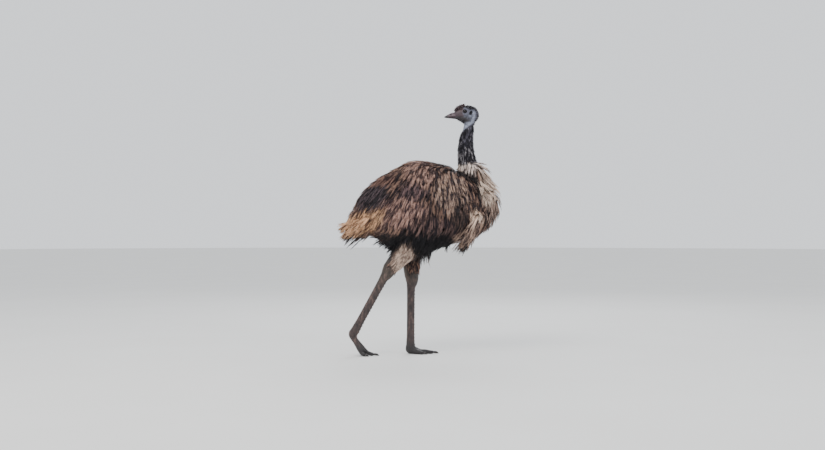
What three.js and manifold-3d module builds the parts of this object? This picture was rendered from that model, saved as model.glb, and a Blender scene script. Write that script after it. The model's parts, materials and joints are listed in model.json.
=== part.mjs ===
// An adult emu, life size, in a slow walk, with its head turned to look back over its tail.
// Millimetres. +X is the way the body faces, +Y is the bird's left and +Z is up; the feet stand on z = 0.
import * as THREE from "three";
import { mergeVertices } from "three/addons/utils/BufferGeometryUtils.js";
import Module from "manifold-3d";

const wasm = await Module();
wasm.setup();
const vec = (x, y, z) => new THREE.Vector3(x, y, z);
const sideways = vec(0, 1, 0);
const sides = { left: 1, right: -1 };

// Driving dimensions
const gap = 0.3; // left between pieces that touch
const sliver = 0.1; // edges that turn less than this are merged after a cut
const coatLift = 24; // how far a lock's tip stands off the body under it
const coatSink = 15; // how deep its root goes in
const lockLength = 170;
const lockWidth = 70;
const lockThickness = 10;
const toeLengths = { inner: 84, middle: 132, outer: 90 }; // without the claws
const clawLengths = { inner: 19, middle: 25, outer: 19 };
const toeSplay = { inner: -0.5, middle: 0.02, outer: 0.52 }; // radians from straight ahead, outwards
const eyeRadius = 12.5;

// The body under its coat, from rump to breast: middle height, half height and half width at each x.
const torsoSections = [
  { x: -338, z: 726, tall: 8, wide: 10 },
  { x: -325, z: 734, tall: 50, wide: 52 },
  { x: -290, z: 756, tall: 96, wide: 92 },
  { x: -230, z: 786, tall: 152, wide: 138 },
  { x: -150, z: 802, tall: 204, wide: 176 },
  { x: -50, z: 801, tall: 249, wide: 200 },
  { x: 40, z: 801, tall: 258, wide: 204 },
  { x: 130, z: 805, tall: 233, wide: 194 },
  { x: 220, z: 810, tall: 192, wide: 170 },
  { x: 300, z: 816, tall: 163, wide: 142 },
  { x: 365, z: 822, tall: 124, wide: 110 },
  { x: 405, z: 828, tall: 82, wide: 76 },
  { x: 425, z: 832, tall: 42, wide: 40 },
  { x: 431, z: 833, tall: 8, wide: 8 },
];
const torsoPear = 0.14; // how much wider the body is below its middle than above

// The neck from inside the breast to the head: place, half depth fore and aft, half width.
const neckSections = [
  { at: [314, 0, 882], deep: 80, wide: 78 },
  { at: [306, 0, 972], deep: 68, wide: 64 },
  { at: [289, 0, 1040], deep: 47, wide: 45 },
  { at: [279, 0, 1105], deep: 38, wide: 36 },
  { at: [279, 0, 1170], deep: 32, wide: 30 },
  { at: [288, 0, 1230], deep: 26, wide: 25 },
  { at: [300, 0, 1282], deep: 27, wide: 24 },
];
const neckParting = 0.5; // share of the way up where the lower neck ends

// The head from nape to the root of the bill: place, half height, half width.
const headSections = [
  { at: [343, 0, 1303], deep: 8, wide: 7 },
  { at: [338, 0, 1305], deep: 24, wide: 19 },
  { at: [324, 0, 1309], deep: 41, wide: 29 },
  { at: [303, 0, 1314], deep: 48, wide: 34 },
  { at: [281, 0, 1319], deep: 47, wide: 34 },
  { at: [260, 0, 1319], deep: 42, wide: 31 },
  { at: [240, 0, 1317], deep: 34, wide: 27 },
  { at: [222, 0, 1315], deep: 25, wide: 23 },
  { at: [212, 0, 1314], deep: 16, wide: 17 },
];
// The bill from its root to its tip along the line of the mouth: height above it, below it, half width.
const billSections = [
  { at: [228, 0, 1308], up: 22, down: 14, wide: 20 },
  { at: [215, 0, 1307], up: 22.5, down: 13, wide: 20 },
  { at: [198, 0, 1306], up: 20, down: 10, wide: 17 },
  { at: [180, 0, 1305], up: 12.5, down: 7, wide: 13 },
  { at: [167, 0, 1304], up: 6.5, down: 4, wide: 9 },
  { at: [160.5, 0, 1303], up: 2.5, down: 1.8, wide: 5 },
];
const eyeAt = vec(273, 21.5, 1333);
const earAt = vec(303, 32.5, 1324);

// Each leg: knee, which the belly hides, ankle, and the joint where the toes meet.
const legs = {
  left: {
    knee: vec(-20, 100, 670),
    ankle: vec(-22, 50, 424),
    toeJoint: vec(-26, 24, 34),
    toes: "flat",
  },
  right: {
    knee: vec(30, -118, 660),
    ankle: vec(-143, -88, 472),
    toeJoint: vec(-335, -72, 122),
    toes: "tiptoe",
  },
};

// A smooth reading of a table of sections: each number in it, at any place along the key.
function reading(sections, key) {
  const at = sections.map((s) => s[key]);
  const names = Object.keys(sections[0]).filter((n) => typeof sections[0][n] === "number" && n !== key);
  const slope = (name, i) => {
    const before = Math.max(i - 1, 0);
    const after = Math.min(i + 1, at.length - 1);
    return (sections[after][name] - sections[before][name]) / (at[after] - at[before]);
  };
  return (k) => {
    const place = THREE.MathUtils.clamp(k, at[0], at.at(-1));
    let i = 0;
    while (i < at.length - 2 && place > at[i + 1]) i++;
    const span = at[i + 1] - at[i];
    const u = (place - at[i]) / span;
    const found = {};
    for (const name of names) {
      const [a, b] = [sections[i][name], sections[i + 1][name]];
      const [ma, mb] = [slope(name, i) * span, slope(name, i + 1) * span];
      found[name] =
        a * (2 * u ** 3 - 3 * u ** 2 + 1) +
        ma * (u ** 3 - 2 * u ** 2 + u) +
        b * (3 * u ** 2 - 2 * u ** 3) +
        mb * (u ** 3 - u ** 2);
    }
    return found;
  };
}

// A repeatable draw of numbers from 0 to 1.
function draw(seed) {
  let state = seed >>> 0;
  return () => {
    state = (state + 0x6d2b79f5) | 0;
    let t = Math.imul(state ^ (state >>> 15), 1 | state);
    t = (t + Math.imul(t ^ (t >>> 7), 61 | t)) ^ t;
    return ((t ^ (t >>> 14)) >>> 0) / 4294967296;
  };
}

const pathThrough = (sections) =>
  new THREE.CatmullRomCurve3(sections.map((s) => vec(...s.at)), false, "centripetal");
const middle = (points) => points.reduce((sum, p) => sum.add(p), vec(0, 0, 0)).divideScalar(points.length);

// A closed body through rings of points, each quad split alike on both faces of a thin form.
function loft(rings, first = middle(rings[0]), last = middle(rings.at(-1))) {
  const around = rings[0].length;
  const points = [first, ...rings.flat(), last];
  const id = (i, j) => 1 + i * around + (j % around);
  const faces = [];
  for (let j = 0; j < around; j++) {
    faces.push([0, id(0, j + 1), id(0, j)]);
    faces.push([points.length - 1, id(rings.length - 1, j), id(rings.length - 1, j + 1)]);
    for (let i = 0; i < rings.length - 1; i++) {
      const [a, b, c, d] = [id(i, j), id(i, j + 1), id(i + 1, j + 1), id(i + 1, j)];
      if (j % 2 === 0) faces.push([a, b, c], [a, c, d]);
      else faces.push([a, b, d], [b, c, d]);
    }
  }
  const spanned = ([a, b, c]) => points[a].dot(vec(0, 0, 0).crossVectors(points[b], points[c]));
  const volume = faces.reduce((sum, face) => sum + spanned(face), 0);
  if (volume < 0) faces.forEach((face) => face.reverse());
  const geometry = new THREE.BufferGeometry().setFromPoints(points).setIndex(faces.flat());
  return solid(geometry);
}

// A closed three.js geometry as a solid that can be joined and cut.
function solid(geometry) {
  geometry.deleteAttribute("normal");
  geometry.deleteAttribute("uv");
  const merged = mergeVertices(geometry, 1e-3);
  return new wasm.Manifold(
    new wasm.Mesh({
      numProp: 3,
      vertProperties: merged.attributes.position.array,
      triVerts: new Uint32Array(merged.index.array),
    }),
  );
}

// An oval ring; up and down may differ, so that a section can be flat on one side.
function oval(centre, across, out, { wide, up, down }, around) {
  return Array.from({ length: around }, (_, k) => {
    const angle = (2 * Math.PI * k) / around;
    const rise = Math.sin(angle);
    return centre
      .clone()
      .addScaledVector(across, Math.cos(angle) * wide)
      .addScaledVector(out, rise * (rise > 0 ? up : down));
  });
}

// A bent, tapering form through sections that each have a place and half sizes.
function limb(
  sections,
  { steps = 12, around = 16, from = 0, to = 1, grow = 0, across = sideways, plates } = {},
) {
  const path = pathThrough(sections);
  const last = sections.length - 1;
  const stop = (share) => ({ t: from + (to - from) * share, rise: 0 });
  const stops = Array.from({ length: steps + 1 }, (_, k) => stop(k / steps));
  const places = plates ? plateStops(stops, plates) : stops;
  const sizes = reading(
    sections.map((s, i) => ({
      i,
      wide: s.wide,
      up: s.up ?? s.deep,
      down: s.down ?? s.deep,
    })),
    "i",
  );
  const rings = places.map(({ t, rise }, k) => {
    const along = path.getTangent(t);
    const out = vec(0, 0, 0).crossVectors(along, across).normalize();
    const flat = vec(0, 0, 0).crossVectors(out, along).normalize();
    const { wide, up, down } = sizes(t * last);
    const beyond = k === 0 ? -grow : k === places.length - 1 ? grow : 0;
    const centre = path.getPoint(t).addScaledVector(along, beyond);
    return oval(centre, flat, out, { wide: wide + grow, up: up + rise + grow, down: down + grow }, around);
  });
  return loft(rings);
}

// Overlapping plates along a limb: each one rises towards its lower edge and steps down to the next.
function plateStops(stops, { first, end, count, rise }) {
  const pitch = (end - first) / count;
  const edges = Array.from({ length: count }, (_, k) => [
    { t: first + pitch * (k + 0.04), rise: 0 },
    { t: first + pitch * (k + 0.9), rise },
  ]);
  return [...stops.filter(({ t }) => t < first), ...edges.flat(), ...stops.filter(({ t }) => t > end)];
}

// A flat tapered lock, vane or plate along a line of places, each with its outward direction.
function blade(line, { width, thick }, grow = 0, swell = lockSwell) {
  const last = line.length - 1;
  const rings = line.slice(0, last).map(({ at, out }, i) => {
    const along = line[i + 1].at.clone().sub(line[Math.max(i - 1, 0)].at).normalize();
    const across = vec(0, 0, 0).crossVectors(along, out).normalize();
    const over = vec(0, 0, 0).crossVectors(across, along).normalize();
    const share = swell(i / last);
    const half = (thick / 2) * share + grow;
    const centre = at.clone().addScaledVector(along, i === 0 ? -grow : 0);
    return oval(centre, across, over, { wide: (width / 2) * share + grow, up: half, down: half }, 4);
  });
  const reach = line[last].at.clone().sub(line[last - 1].at).normalize();
  return loft(rings, middle(rings[0]), line[last].at.clone().addScaledVector(reach, grow));
}
const lockSwell = (u) => Math.sin(Math.PI * (0.24 + 0.76 * u));

const join = (solids) => wasm.Manifold.union(solids);
const cut = (whole, ...others) => others.reduce((left, other) => left.subtract(other), whole);

// The largest closed surface of a solid, with slivers cleaned off.
function largest(whole) {
  const pieces = whole.simplify(sliver).decompose();
  return pieces.reduce((best, piece) => (piece.volume() > best.volume() ? piece : best));
}

const torsoAt = reading(torsoSections, "x");
const rumpEnd = torsoSections[0].x;
const breastEnd = torsoSections.at(-1).x;

// A place on the body: turn runs from 0 at the spine to pi under the belly.
function torsoPoint(x, turn, side) {
  const { z, tall, wide } = torsoAt(x);
  const belly = 1 - torsoPear * Math.cos(turn);
  return vec(x, side * wide * Math.sin(turn) * belly, z + tall * Math.cos(turn));
}

// The surface at such a place, with the way out of it.
function torsoFrame(x, turn, side) {
  const inside = THREE.MathUtils.clamp(x, rumpEnd + 6, breastEnd - 3);
  const nudge = 0.5;
  const point = torsoPoint(inside, turn, side);
  const ahead = torsoPoint(inside + nudge, turn, side).sub(torsoPoint(inside - nudge, turn, side));
  const down = torsoPoint(inside, turn + 0.01, side).sub(torsoPoint(inside, turn - 0.01, side));
  const normal = vec(0, 0, 0).crossVectors(ahead, down).multiplyScalar(side).normalize();
  return { point, normal };
}

// The surface under or over a point beside it.
function torsoSpot(point, side) {
  const { z, tall, wide } = torsoAt(point.x);
  return torsoFrame(point.x, Math.atan2(Math.max(side * point.y, 0) / wide, (point.z - z) / tall), side);
}

function torsoCore() {
  const steps = 15;
  const around = 20;
  const rings = [];
  for (let i = 0; i <= steps; i++) {
    const ease = 0.5 - 0.5 * Math.cos((Math.PI * i) / steps); // closer sections towards both ends
    const x = THREE.MathUtils.lerp(rumpEnd, breastEnd, ease);
    const ring = Array.from({ length: around }, (_, k) => {
      const turn = (2 * Math.PI * k) / around;
      return turn <= Math.PI ? torsoPoint(x, turn, 1) : torsoPoint(x, 2 * Math.PI - turn, -1);
    });
    rings.push(ring);
  }
  return loft(rings);
}

// How far the coat leans back for each millimetre that it falls: it fans out from the middle of the back.
const lean = reading(
  [
    { x: -340, back: 1.1 },
    { x: -200, back: 0.75 },
    { x: 0, back: 0.25 },
    { x: 150, back: 0.02 },
    { x: 300, back: -0.2 },
    { x: 380, back: 0.1 },
    { x: 440, back: 0.4 },
  ],
  "x",
);

// The line of a lock that starts in the body, lies along it, and hangs free where the body turns away.
function drape(x, turn, side, reach, lift, steps) {
  const hangSlope = -0.12; // how far the surface may face down before a lock leaves it
  const pace = reach / steps;
  const line = [];
  let here = torsoFrame(x, turn, side);
  for (let i = 0; i <= steps; i++) {
    const rise = -coatSink + (coatSink + lift) * (i / steps) ** 0.6;
    const fall = vec(-lean(here.point.x).back, 0, -1).normalize();
    const out = here.normal.clone();
    if (i === 0 || here.normal.z > hangSlope) {
      line.push({ at: here.point.clone().addScaledVector(out, rise), out, rise });
      const way = fall.addScaledVector(out, -fall.dot(out)).normalize();
      here = torsoSpot(here.point.clone().addScaledVector(way, pace), side);
    } else {
      const { at, rise: before } = line[i - 1];
      const hung = at.clone().addScaledVector(fall, pace).addScaledVector(out, rise - before);
      line.push({ at: hung, out: out.setZ(0.2).normalize(), rise });
    }
  }
  return line;
}

// Locks in tiers down each side of the body, along the spine, and over the breast.
function torsoLocks(clearOf) {
  const random = draw(11);
  const vary = (share) => 1 + share * (2 * random() - 1);
  const locks = [];
  const add = (x, turn, side, reach, steps = 4) => {
    const line = drape(x, turn, side, reach * vary(0.22), coatLift * vary(0.35), steps);
    const lock = blade(line, { width: lockWidth * vary(0.15), thick: lockThickness * vary(0.15) });
    if (lock.intersect(clearOf).volume() < crowded * lock.volume()) locks.push(lock);
  };
  const tiers = [
    { turn: 0.28, reach: 1, steps: 3 },
    { turn: 0.72, reach: 1, steps: 3 },
    { turn: 1.16, reach: 1, steps: 4 },
    { turn: 1.6, reach: 0.8, steps: 4 },
    { turn: 2.12, reach: 0.62, steps: 3 },
  ];
  const spacing = 90;
  const crowded = 0.02; // a lock that runs this far into a neighbour is left out
  const breast = [
    { x: 400, turns: [0.5, 1.3, 2.1] },
    { x: 424, turns: [0.2, 1.6, 2.9] },
  ];
  for (const side of Object.values(sides)) {
    tiers.forEach(({ turn, reach, steps }, tier) => {
      for (let x = -270 + (tier % 2) * (spacing / 2); x < 375; x += spacing) {
        add(x + 14 * (vary(1) - 1), turn + 0.12 * (vary(1) - 1), side, lockLength * reach, steps);
      }
    });
    for (const { x, turns } of breast) {
      for (const turn of turns) add(x, turn, side, lockLength * 0.62);
    }
  }
  for (let x = -250, k = 0; x < 230; x += spacing, k++) add(x, 0.03, k % 2 ? 1 : -1, lockLength * 0.8);
  return locks;
}

// The tail: a short stump under drooping vanes in three tiers.
const tailSections = [
  { at: [-240, 0, 772], deep: 66, wide: 78 },
  { at: [-285, 0, 744], deep: 62, wide: 74 },
  { at: [-330, 0, 712], deep: 44, wide: 54 },
  { at: [-356, 0, 692], deep: 22, wide: 28 },
];
function tailVanes(grow) {
  const random = draw(23);
  const vary = (share) => 1 + share * (2 * random() - 1);
  const axis = vec(...tailSections.at(-1).at).sub(vec(...tailSections[0].at)).normalize();
  const over = vec(0, 0, 0).crossVectors(axis, sideways).normalize();
  if (over.z < 0) over.negate();
  const tiers = [
    { share: 0.52, reach: 84, count: 8 },
    { share: 0.82, reach: 66, count: 6 },
  ];
  const path = pathThrough(tailSections);
  const sizes = reading(tailSections.map((s, i) => ({ i, deep: s.deep, wide: s.wide })), "i");
  const vanes = [];
  for (const { share, reach, count } of tiers) {
    const { deep, wide } = sizes(share * (tailSections.length - 1));
    for (let k = 0; k < count; k++) {
      const angle = THREE.MathUtils.lerp(-2.5, 2.5, (k + 0.5 * vary(0.3)) / count);
      const [up, along] = [Math.cos(angle), Math.sin(angle)];
      const out = vec(0, 0, 0).addScaledVector(over, up).addScaledVector(sideways, along);
      const root = path
        .getPoint(share)
        .addScaledVector(over, up * (deep - coatSink))
        .addScaledVector(sideways, along * (wide - coatSink));
      const way = axis.clone().addScaledVector(out, 0.2).normalize();
      const line = [0, 1, 2, 3, 4].map((i) => {
        const u = i / 4;
        const at = root.clone().addScaledVector(way, reach * vary(0.04) * u);
        at.addScaledVector(out, (coatSink + 10) * u ** 0.5).z -= 26 * u * u;
        return { at, out };
      });
      vanes.push(blade(line, { width: 48 * vary(0.15), thick: 8 }, grow));
    }
  }
  return vanes;
}

// A stub wing against the side of the breast, with loose drooping plumes.
function wingSections(side) {
  return [
    { at: [352, side * 118, 762], deep: 20, wide: 12 },
    { at: [336, side * 146, 726], deep: 24, wide: 15 },
    { at: [312, side * 152, 682], deep: 22, wide: 14 },
    { at: [290, side * 142, 642], deep: 15, wide: 10 },
  ];
}
function wingPlumes(side, grow) {
  const random = draw(31);
  const vary = (share) => 1 + share * (2 * random() - 1);
  const sections = wingSections(side);
  const path = pathThrough(sections);
  const plumes = [];
  const count = 7;
  for (let k = 0; k < count; k++) {
    const share = THREE.MathUtils.lerp(0.12, 0.96, k / (count - 1));
    const root = path.getPoint(share);
    const shift = (k % 2 ? 1 : -1) * 7;
    const reach = THREE.MathUtils.lerp(122, 104, share) * vary(0.12);
    const way = vec(-0.3 - 0.35 * share + 0.55 * (k % 2), side * 0.04, -1).normalize();
    const line = [0, 1, 2, 3, 4].map((i) => {
      const u = i / 4;
      const at = root.clone().addScaledVector(way, reach * u);
      at.y += side * (shift * (1 - u) + 5 * u);
      return { at, out: vec(0.1, side, 0.1).normalize() };
    });
    plumes.push(blade(line, { width: 36 * vary(0.15), thick: 8 }, grow));
  }
  return plumes;
}

// Hair-like locks that hang down the neck in tiers.
function neckLocks(shares, { count, length, width, thick, splay, seed }, grow) {
  const random = draw(seed);
  const vary = (share) => 1 + share * (2 * random() - 1);
  const path = pathThrough(neckSections);
  const sizes = reading(neckSections.map((s, i) => ({ i, deep: s.deep, wide: s.wide })), "i");
  const locks = [];
  shares.forEach((share, tier) => {
    for (let k = 0; k < count; k++) {
      const angle = (2 * Math.PI * (k + 0.5 * (tier % 2) + 0.15 * vary(1))) / count;
      const reach = length * vary(0.2);
      const line = [0, 1, 2, 3].map((i) => {
        const u = i / 3;
        const t = Math.max(share - (u * reach) / path.getLength(), 0);
        const { deep, wide } = sizes(t * (neckSections.length - 1));
        const lift = -5 + (5 + splay) * u ** 0.7;
        const out = vec(Math.cos(angle) * wide, Math.sin(angle) * deep, 0).normalize();
        const beside = vec(Math.cos(angle) * (deep + lift), Math.sin(angle) * (wide + lift), 0);
        return { at: path.getPoint(t).add(beside), out };
      });
      locks.push(blade(line, { width: width * vary(0.15), thick }, grow));
    }
  });
  return locks;
}

const neckUpperTiers = [0.9, 0.72];
const neckLowerTiers = [0.47];
const ruffTiers = [0.31];

// Bristly locks that lie back over the brow, the crown and the nape.
function headLocks(grow) {
  const random = draw(47);
  const vary = (share) => 1 + share * (2 * random() - 1);
  const path = pathThrough(headSections);
  const sizes = reading(headSections.map((s, i) => ({ i, deep: s.deep, wide: s.wide })), "i");
  const rows = [
    { share: 0.8, turns: [-0.6, 0, 0.6], lift: 8 },
    { share: 0.68, turns: [-0.9, -0.3, 0.3, 0.9], lift: 7 },
    { share: 0.52, turns: [-0.55, 0, 0.55], lift: 6 },
    { share: 0.38, turns: [-0.8, -0.28, 0.28, 0.8], lift: 6 },
  ];
  const locks = [];
  for (const { share, turns, lift } of rows) {
    for (const turn of turns) {
      const reach = 34 * vary(0.15);
      const line = [0, 1, 2, 3].map((i) => {
        const u = i / 3;
        const t = share - (u * reach) / path.getLength();
        const { deep, wide } = sizes(t * (headSections.length - 1));
        const rise = -4 + (4 + lift) * u ** 0.7;
        const beside = vec(0, Math.sin(turn) * (wide + rise), Math.cos(turn) * (deep + rise));
        const out = vec(0, Math.sin(turn) / wide, Math.cos(turn) / deep).normalize();
        return { at: path.getPoint(t).add(beside), out };
      });
      locks.push(blade(line, { width: 17 * vary(0.15), thick: 5 }, grow));
    }
  }
  return locks;
}

// A ball stretched to half sizes, turned about the sideways axis and put in place.
function bead(at, half, tilt = 0, detail = 12) {
  const geometry = new THREE.SphereGeometry(1, detail, Math.round(detail * 0.7));
  geometry.scale(...half);
  geometry.rotateY(tilt);
  geometry.translate(at.x, at.y, at.z);
  return solid(geometry);
}

// Raised skin that the eye and the ear sit in, and the opening between the lids.
const lid = (side) => bead(vec(eyeAt.x, side * (eyeAt.y + 2), eyeAt.z), [18, 12, 14.8], 0, 10);
const lidOpening = (side) => bead(vec(eyeAt.x, side * (eyeAt.y + 12), eyeAt.z), [11.5, 10, 9.5], 0, 10);
const earRim = (side) => bead(vec(earAt.x, side * (earAt.y - 1), earAt.z), [8, 5, 11.5], 0, 10);

const mirrored = (at, side) => vec(at.x, side * at.y, at.z);
const backwards = { across: vec(0, -1, 0) }; // for a form that runs towards the tail, so that its up is up
const billUpper = (grow) =>
  limb(billSections.map((s) => ({ ...s, down: -gap / 2 })), { steps: 7, around: 12, grow, ...backwards });
const billLower = (grow) =>
  limb(
    billSections.map((s) => ({ ...s, up: -gap / 2, wide: s.wide - 1 })),
    { steps: 6, around: 12, grow, to: 0.97, ...backwards },
  );
const eyeball = (side, grow) => {
  const radius = eyeRadius + grow;
  const back = eyeAt.y - 6 - grow; // the flat back of the eye, in the head
  return bead(mirrored(eyeAt, side), [radius, radius, radius], 0, 12).trimByPlane([0, side, 0], back);
};

function headWhole(grow) {
  const skull = limb(headSections, { steps: 11, around: 14, grow, ...backwards });
  const rims = Object.values(sides).flatMap((side) => [lid(side), earRim(side)]);
  return join([skull, ...rims, ...headLocks(grow)]);
}

function makeHead() {
  let head = headWhole(0);
  for (const side of Object.values(sides)) {
    const pit = bead(vec(earAt.x, side * (earAt.y + 4), earAt.z), [4.5, 10, 7.5], 0, 8);
    head = cut(head, eyeball(side, gap), lidOpening(side), pit);
  }
  return cut(head, billUpper(gap), billLower(gap));
}

function makeBillUpper() {
  const nostril = (side) => bead(vec(196, side * 15.5, 1316.5), [9, 4, 2.8], 0.3, 10);
  return cut(billUpper(0), ...Object.values(sides).map(nostril));
}

// The feathered upper leg, from inside the belly down to just above the ankle.
function thighSections({ knee, ankle }) {
  const at = (u) => knee.clone().lerp(ankle, u).toArray();
  return [
    { at: at(-0.3), deep: 44, wide: 38 },
    { at: at(0), deep: 80, wide: 62 },
    { at: at(0.35), deep: 70, wide: 54 },
    { at: at(0.62), deep: 54, wide: 43 },
    { at: at(0.82), deep: 45, wide: 36 },
    { at: at(0.93), deep: 39, wide: 31 },
  ];
}
const thigh = (leg, grow) => limb(thighSections(leg), { steps: 6, around: 14, grow });

// The bare ankle and shank: the ankle bulges forwards over a slim shank.
function shankSections({ knee, ankle, toeJoint }) {
  const top = knee.clone().lerp(ankle, 0.932).toArray();
  const at = (u, forward = 0) => ankle.clone().lerp(toeJoint, u).add(vec(forward, 0, 0)).toArray();
  return [
    { at: top, deep: 37.5, wide: 29.5 },
    { at: at(0.0, 4), deep: 37, wide: 31 },
    { at: at(0.07, 6), deep: 32, wide: 27 },
    { at: at(0.14, 1), deep: 24, wide: 21 },
    { at: at(0.22), deep: 20, wide: 17 },
    { at: at(0.5), deep: 19, wide: 14.5 },
    { at: at(0.8), deep: 19.5, wide: 16 },
    { at: at(0.92), deep: 22, wide: 21 },
    { at: at(0.97), deep: 23, wide: 24 },
  ];
}
// The front of the shank carries broad overlapping plates.
const shankPlates = { first: 0.4, end: 0.94, count: 9, rise: 3 };
const shank = (leg, grow, plates) => limb(shankSections(leg), { steps: 11, around: 10, grow, plates });

// Where a toe runs: on the floor from under the joint, or over on its tip behind the walking bird.
function toeLine({ toeJoint, toes }, side, toe) {
  const reach = toeLengths[toe];
  const turn = side * toeSplay[toe];
  const ahead = vec(Math.cos(turn), Math.sin(turn), 0);
  const place = (out, height) => vec(toeJoint.x, toeJoint.y, height).addScaledVector(ahead, out).toArray();
  if (toes === "flat") {
    return [
      { at: place(-6, 31), up: 20, down: 25, wide: 21 },
      { at: place(reach * 0.22, 22), up: 17, down: 24, wide: 17 },
      { at: place(reach * 0.42, 15), up: 12, down: 16.5, wide: 13 },
      { at: place(reach * 0.6, 14), up: 13, down: 16, wide: 15 },
      { at: place(reach * 0.8, 11.5), up: 10, down: 13.5, wide: 12 },
      { at: place(reach * 0.93, 10.5), up: 9.5, down: 12.5, wide: 12 },
      { at: place(reach, 9.5), up: 6.5, down: 8, wide: 8 },
    ];
  }
  return [
    { at: place(-6, toeJoint.z - 4), up: 20, down: 22, wide: 21 },
    { at: place(2, toeJoint.z - 24), up: 16, down: 20, wide: 18 },
    { at: place(reach * 0.18, toeJoint.z - 46), up: 12, down: 16, wide: 14 },
    { at: place(reach * 0.38, 45), up: 12, down: 15, wide: 14 },
    { at: place(reach * 0.58, 20), up: 10, down: 14, wide: 12 },
    { at: place(reach * 0.76, 10.5), up: 9.5, down: 12.5, wide: 12 },
    { at: place(reach * 0.87, 8.5), up: 6.5, down: 7.5, wide: 8 },
  ];
}

function toeAcross(side, toe) {
  const turn = side * toeSplay[toe] + Math.PI / 2;
  return vec(Math.cos(turn), Math.sin(turn), 0);
}

function claw(leg, side, toe) {
  const line = toeLine(leg, side, toe);
  const end = vec(...line.at(-1).at);
  const ahead = vec(end.x - line.at(-2).at[0], end.y - line.at(-2).at[1], 0).normalize();
  const reach = clawLengths[toe];
  const place = (out, height) => end.clone().addScaledVector(ahead, out).setZ(height).toArray();
  const sections = [
    { at: place(gap, end.z), up: 6.4, down: 6.4, wide: 6.4 },
    { at: place(reach * 0.35, end.z), up: 6, down: 7, wide: 6 },
    { at: place(reach * 0.7, end.z - 2), up: 4, down: 6, wide: 4.4 },
    { at: place(reach, end.z - 6), up: 1, down: 1.4, wide: 1.4 },
  ];
  return limb(sections, { steps: 3, around: 6, across: toeAcross(side, toe) }).trimByPlane([0, 0, 1], 0);
}

function makeFoot(leg, side) {
  const toes = Object.keys(toeLengths).map((toe) => {
    const plates = { first: 0.3, end: 0.93, count: toe === "middle" ? 6 : 4, rise: 2 };
    return limb(toeLine(leg, side, toe), { steps: 8, around: 8, across: toeAcross(side, toe), plates });
  });
  const { toeJoint } = leg;
  const heel = bead(vec(toeJoint.x - 3, toeJoint.y, toeJoint.z - 4), [25, 23, 31], 0, 10);
  return cut(join([heel, ...toes]).trimByPlane([0, 0, 1], 0), shank(leg, gap));
}

const neckUpperWhole = (grow) => {
  const core = limb(neckSections, { steps: 7, around: 14, from: neckParting, grow });
  const hair = { count: 6, length: 72, width: 24, thick: 6, splay: 7, seed: 61 };
  return join([core, ...neckLocks(neckUpperTiers, hair, grow)]);
};
const neckLowerWhole = (grow) => {
  const core = limb(neckSections, { steps: 7, around: 14, to: neckParting, grow });
  const hair = { count: 6, length: 80, width: 30, thick: 7, splay: 9, seed: 67 };
  const ruff = { count: 9, length: 120, width: 44, thick: 9, splay: 16, seed: 71 };
  return join([core, ...neckLocks(neckLowerTiers, hair, grow), ...neckLocks(ruffTiers, ruff, grow)]);
};
const tailWhole = (grow) => join([limb(tailSections, { steps: 5, around: 12, grow }), ...tailVanes(grow)]);
const wingWhole = (side, grow) =>
  join([limb(wingSections(side), { steps: 5, around: 8, grow }), ...wingPlumes(side, grow)]);

const looks = {
  coat: { color: 0x6b5546, roughness: 0.9 },
  tailCoat: { color: 0xa98458, roughness: 0.9 },
  ruff: { color: 0xb49b80, roughness: 0.9 },
  neckHair: { color: 0x25242c, roughness: 0.8 },
  headSkin: { color: 0x4a4c57, roughness: 0.7 },
  bill: { color: 0x5a474a, roughness: 0.5 },
  eye: { color: 0x2b1710, roughness: 0.15 },
  thighCoat: { color: 0x9a8268, roughness: 0.9 },
  legSkin: { color: 0x5c4a42, roughness: 0.7 },
  claw: { color: 0x2a2523, roughness: 0.4 },
};

const emu = new THREE.Group();
function add(name, look, made) {
  const { vertProperties, triVerts } = largest(made).getMesh();
  const geometry = new THREE.BufferGeometry()
    .setAttribute("position", new THREE.BufferAttribute(vertProperties, 3))
    .setIndex(new THREE.BufferAttribute(triVerts, 1));
  geometry.computeVertexNormals();
  const mesh = new THREE.Mesh(geometry, new THREE.MeshStandardMaterial({ metalness: 0, ...looks[look] }));
  mesh.name = name;
  emu.add(mesh);
}

add("head", "headSkin", makeHead());
add("bill_upper", "bill", makeBillUpper());
add("bill_lower", "bill", billLower(0));
add("neck_upper", "neckHair", cut(neckUpperWhole(0), headWhole(gap)));
add("neck_lower", "ruff", cut(neckLowerWhole(0), neckUpperWhole(gap)));
const tail = tailWhole(gap);
const neighbours = [neckLowerWhole(gap), tail];
for (const [name, side] of Object.entries(sides)) {
  const leg = legs[name];
  neighbours.push(thigh(leg, gap), wingWhole(side, gap));
  // The head is turned right round, so its own left is on the other side.
  add(`eye_${name === "left" ? "right" : "left"}`, "eye", eyeball(side, 0));
  add(`wing_${name}`, "coat", wingWhole(side, 0));
  add(`thigh_${name}`, "thighCoat", thigh(leg, 0));
  add(`shank_${name}`, "legSkin", cut(shank(leg, 0, shankPlates), thigh(leg, gap)));
  add(`foot_${name}`, "legSkin", makeFoot(leg, side));
  for (const toe of Object.keys(toeLengths)) {
    add(`claw_${name}_${toe}`, "claw", cut(claw(leg, side, toe), makeFoot(leg, side)));
  }
}
add("tail", "tailCoat", tailWhole(0));
const around = join(neighbours);
add("torso", "coat", cut(join([torsoCore(), ...torsoLocks(around)]), around));

// The origin is on the floor, under the middle of the bird.
const bounds = new THREE.Box3().setFromObject(emu);
const centre = bounds.getCenter(vec(0, 0, 0));
emu.position.set(-centre.x, -centre.y, -bounds.min.z);

export default emu;
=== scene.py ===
# An adult emu, life size, walking slowly and looking back over its own tail.
# Shapes are given in millimetres in the bird's own axes, +X ahead, +Y its left and +Z up,
# and placed in metres.
import json
import math

import bmesh
import bpy
import numpy as np
from mathutils import Matrix, Vector, kdtree, noise
from mathutils.bvhtree import BVHTree

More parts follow.
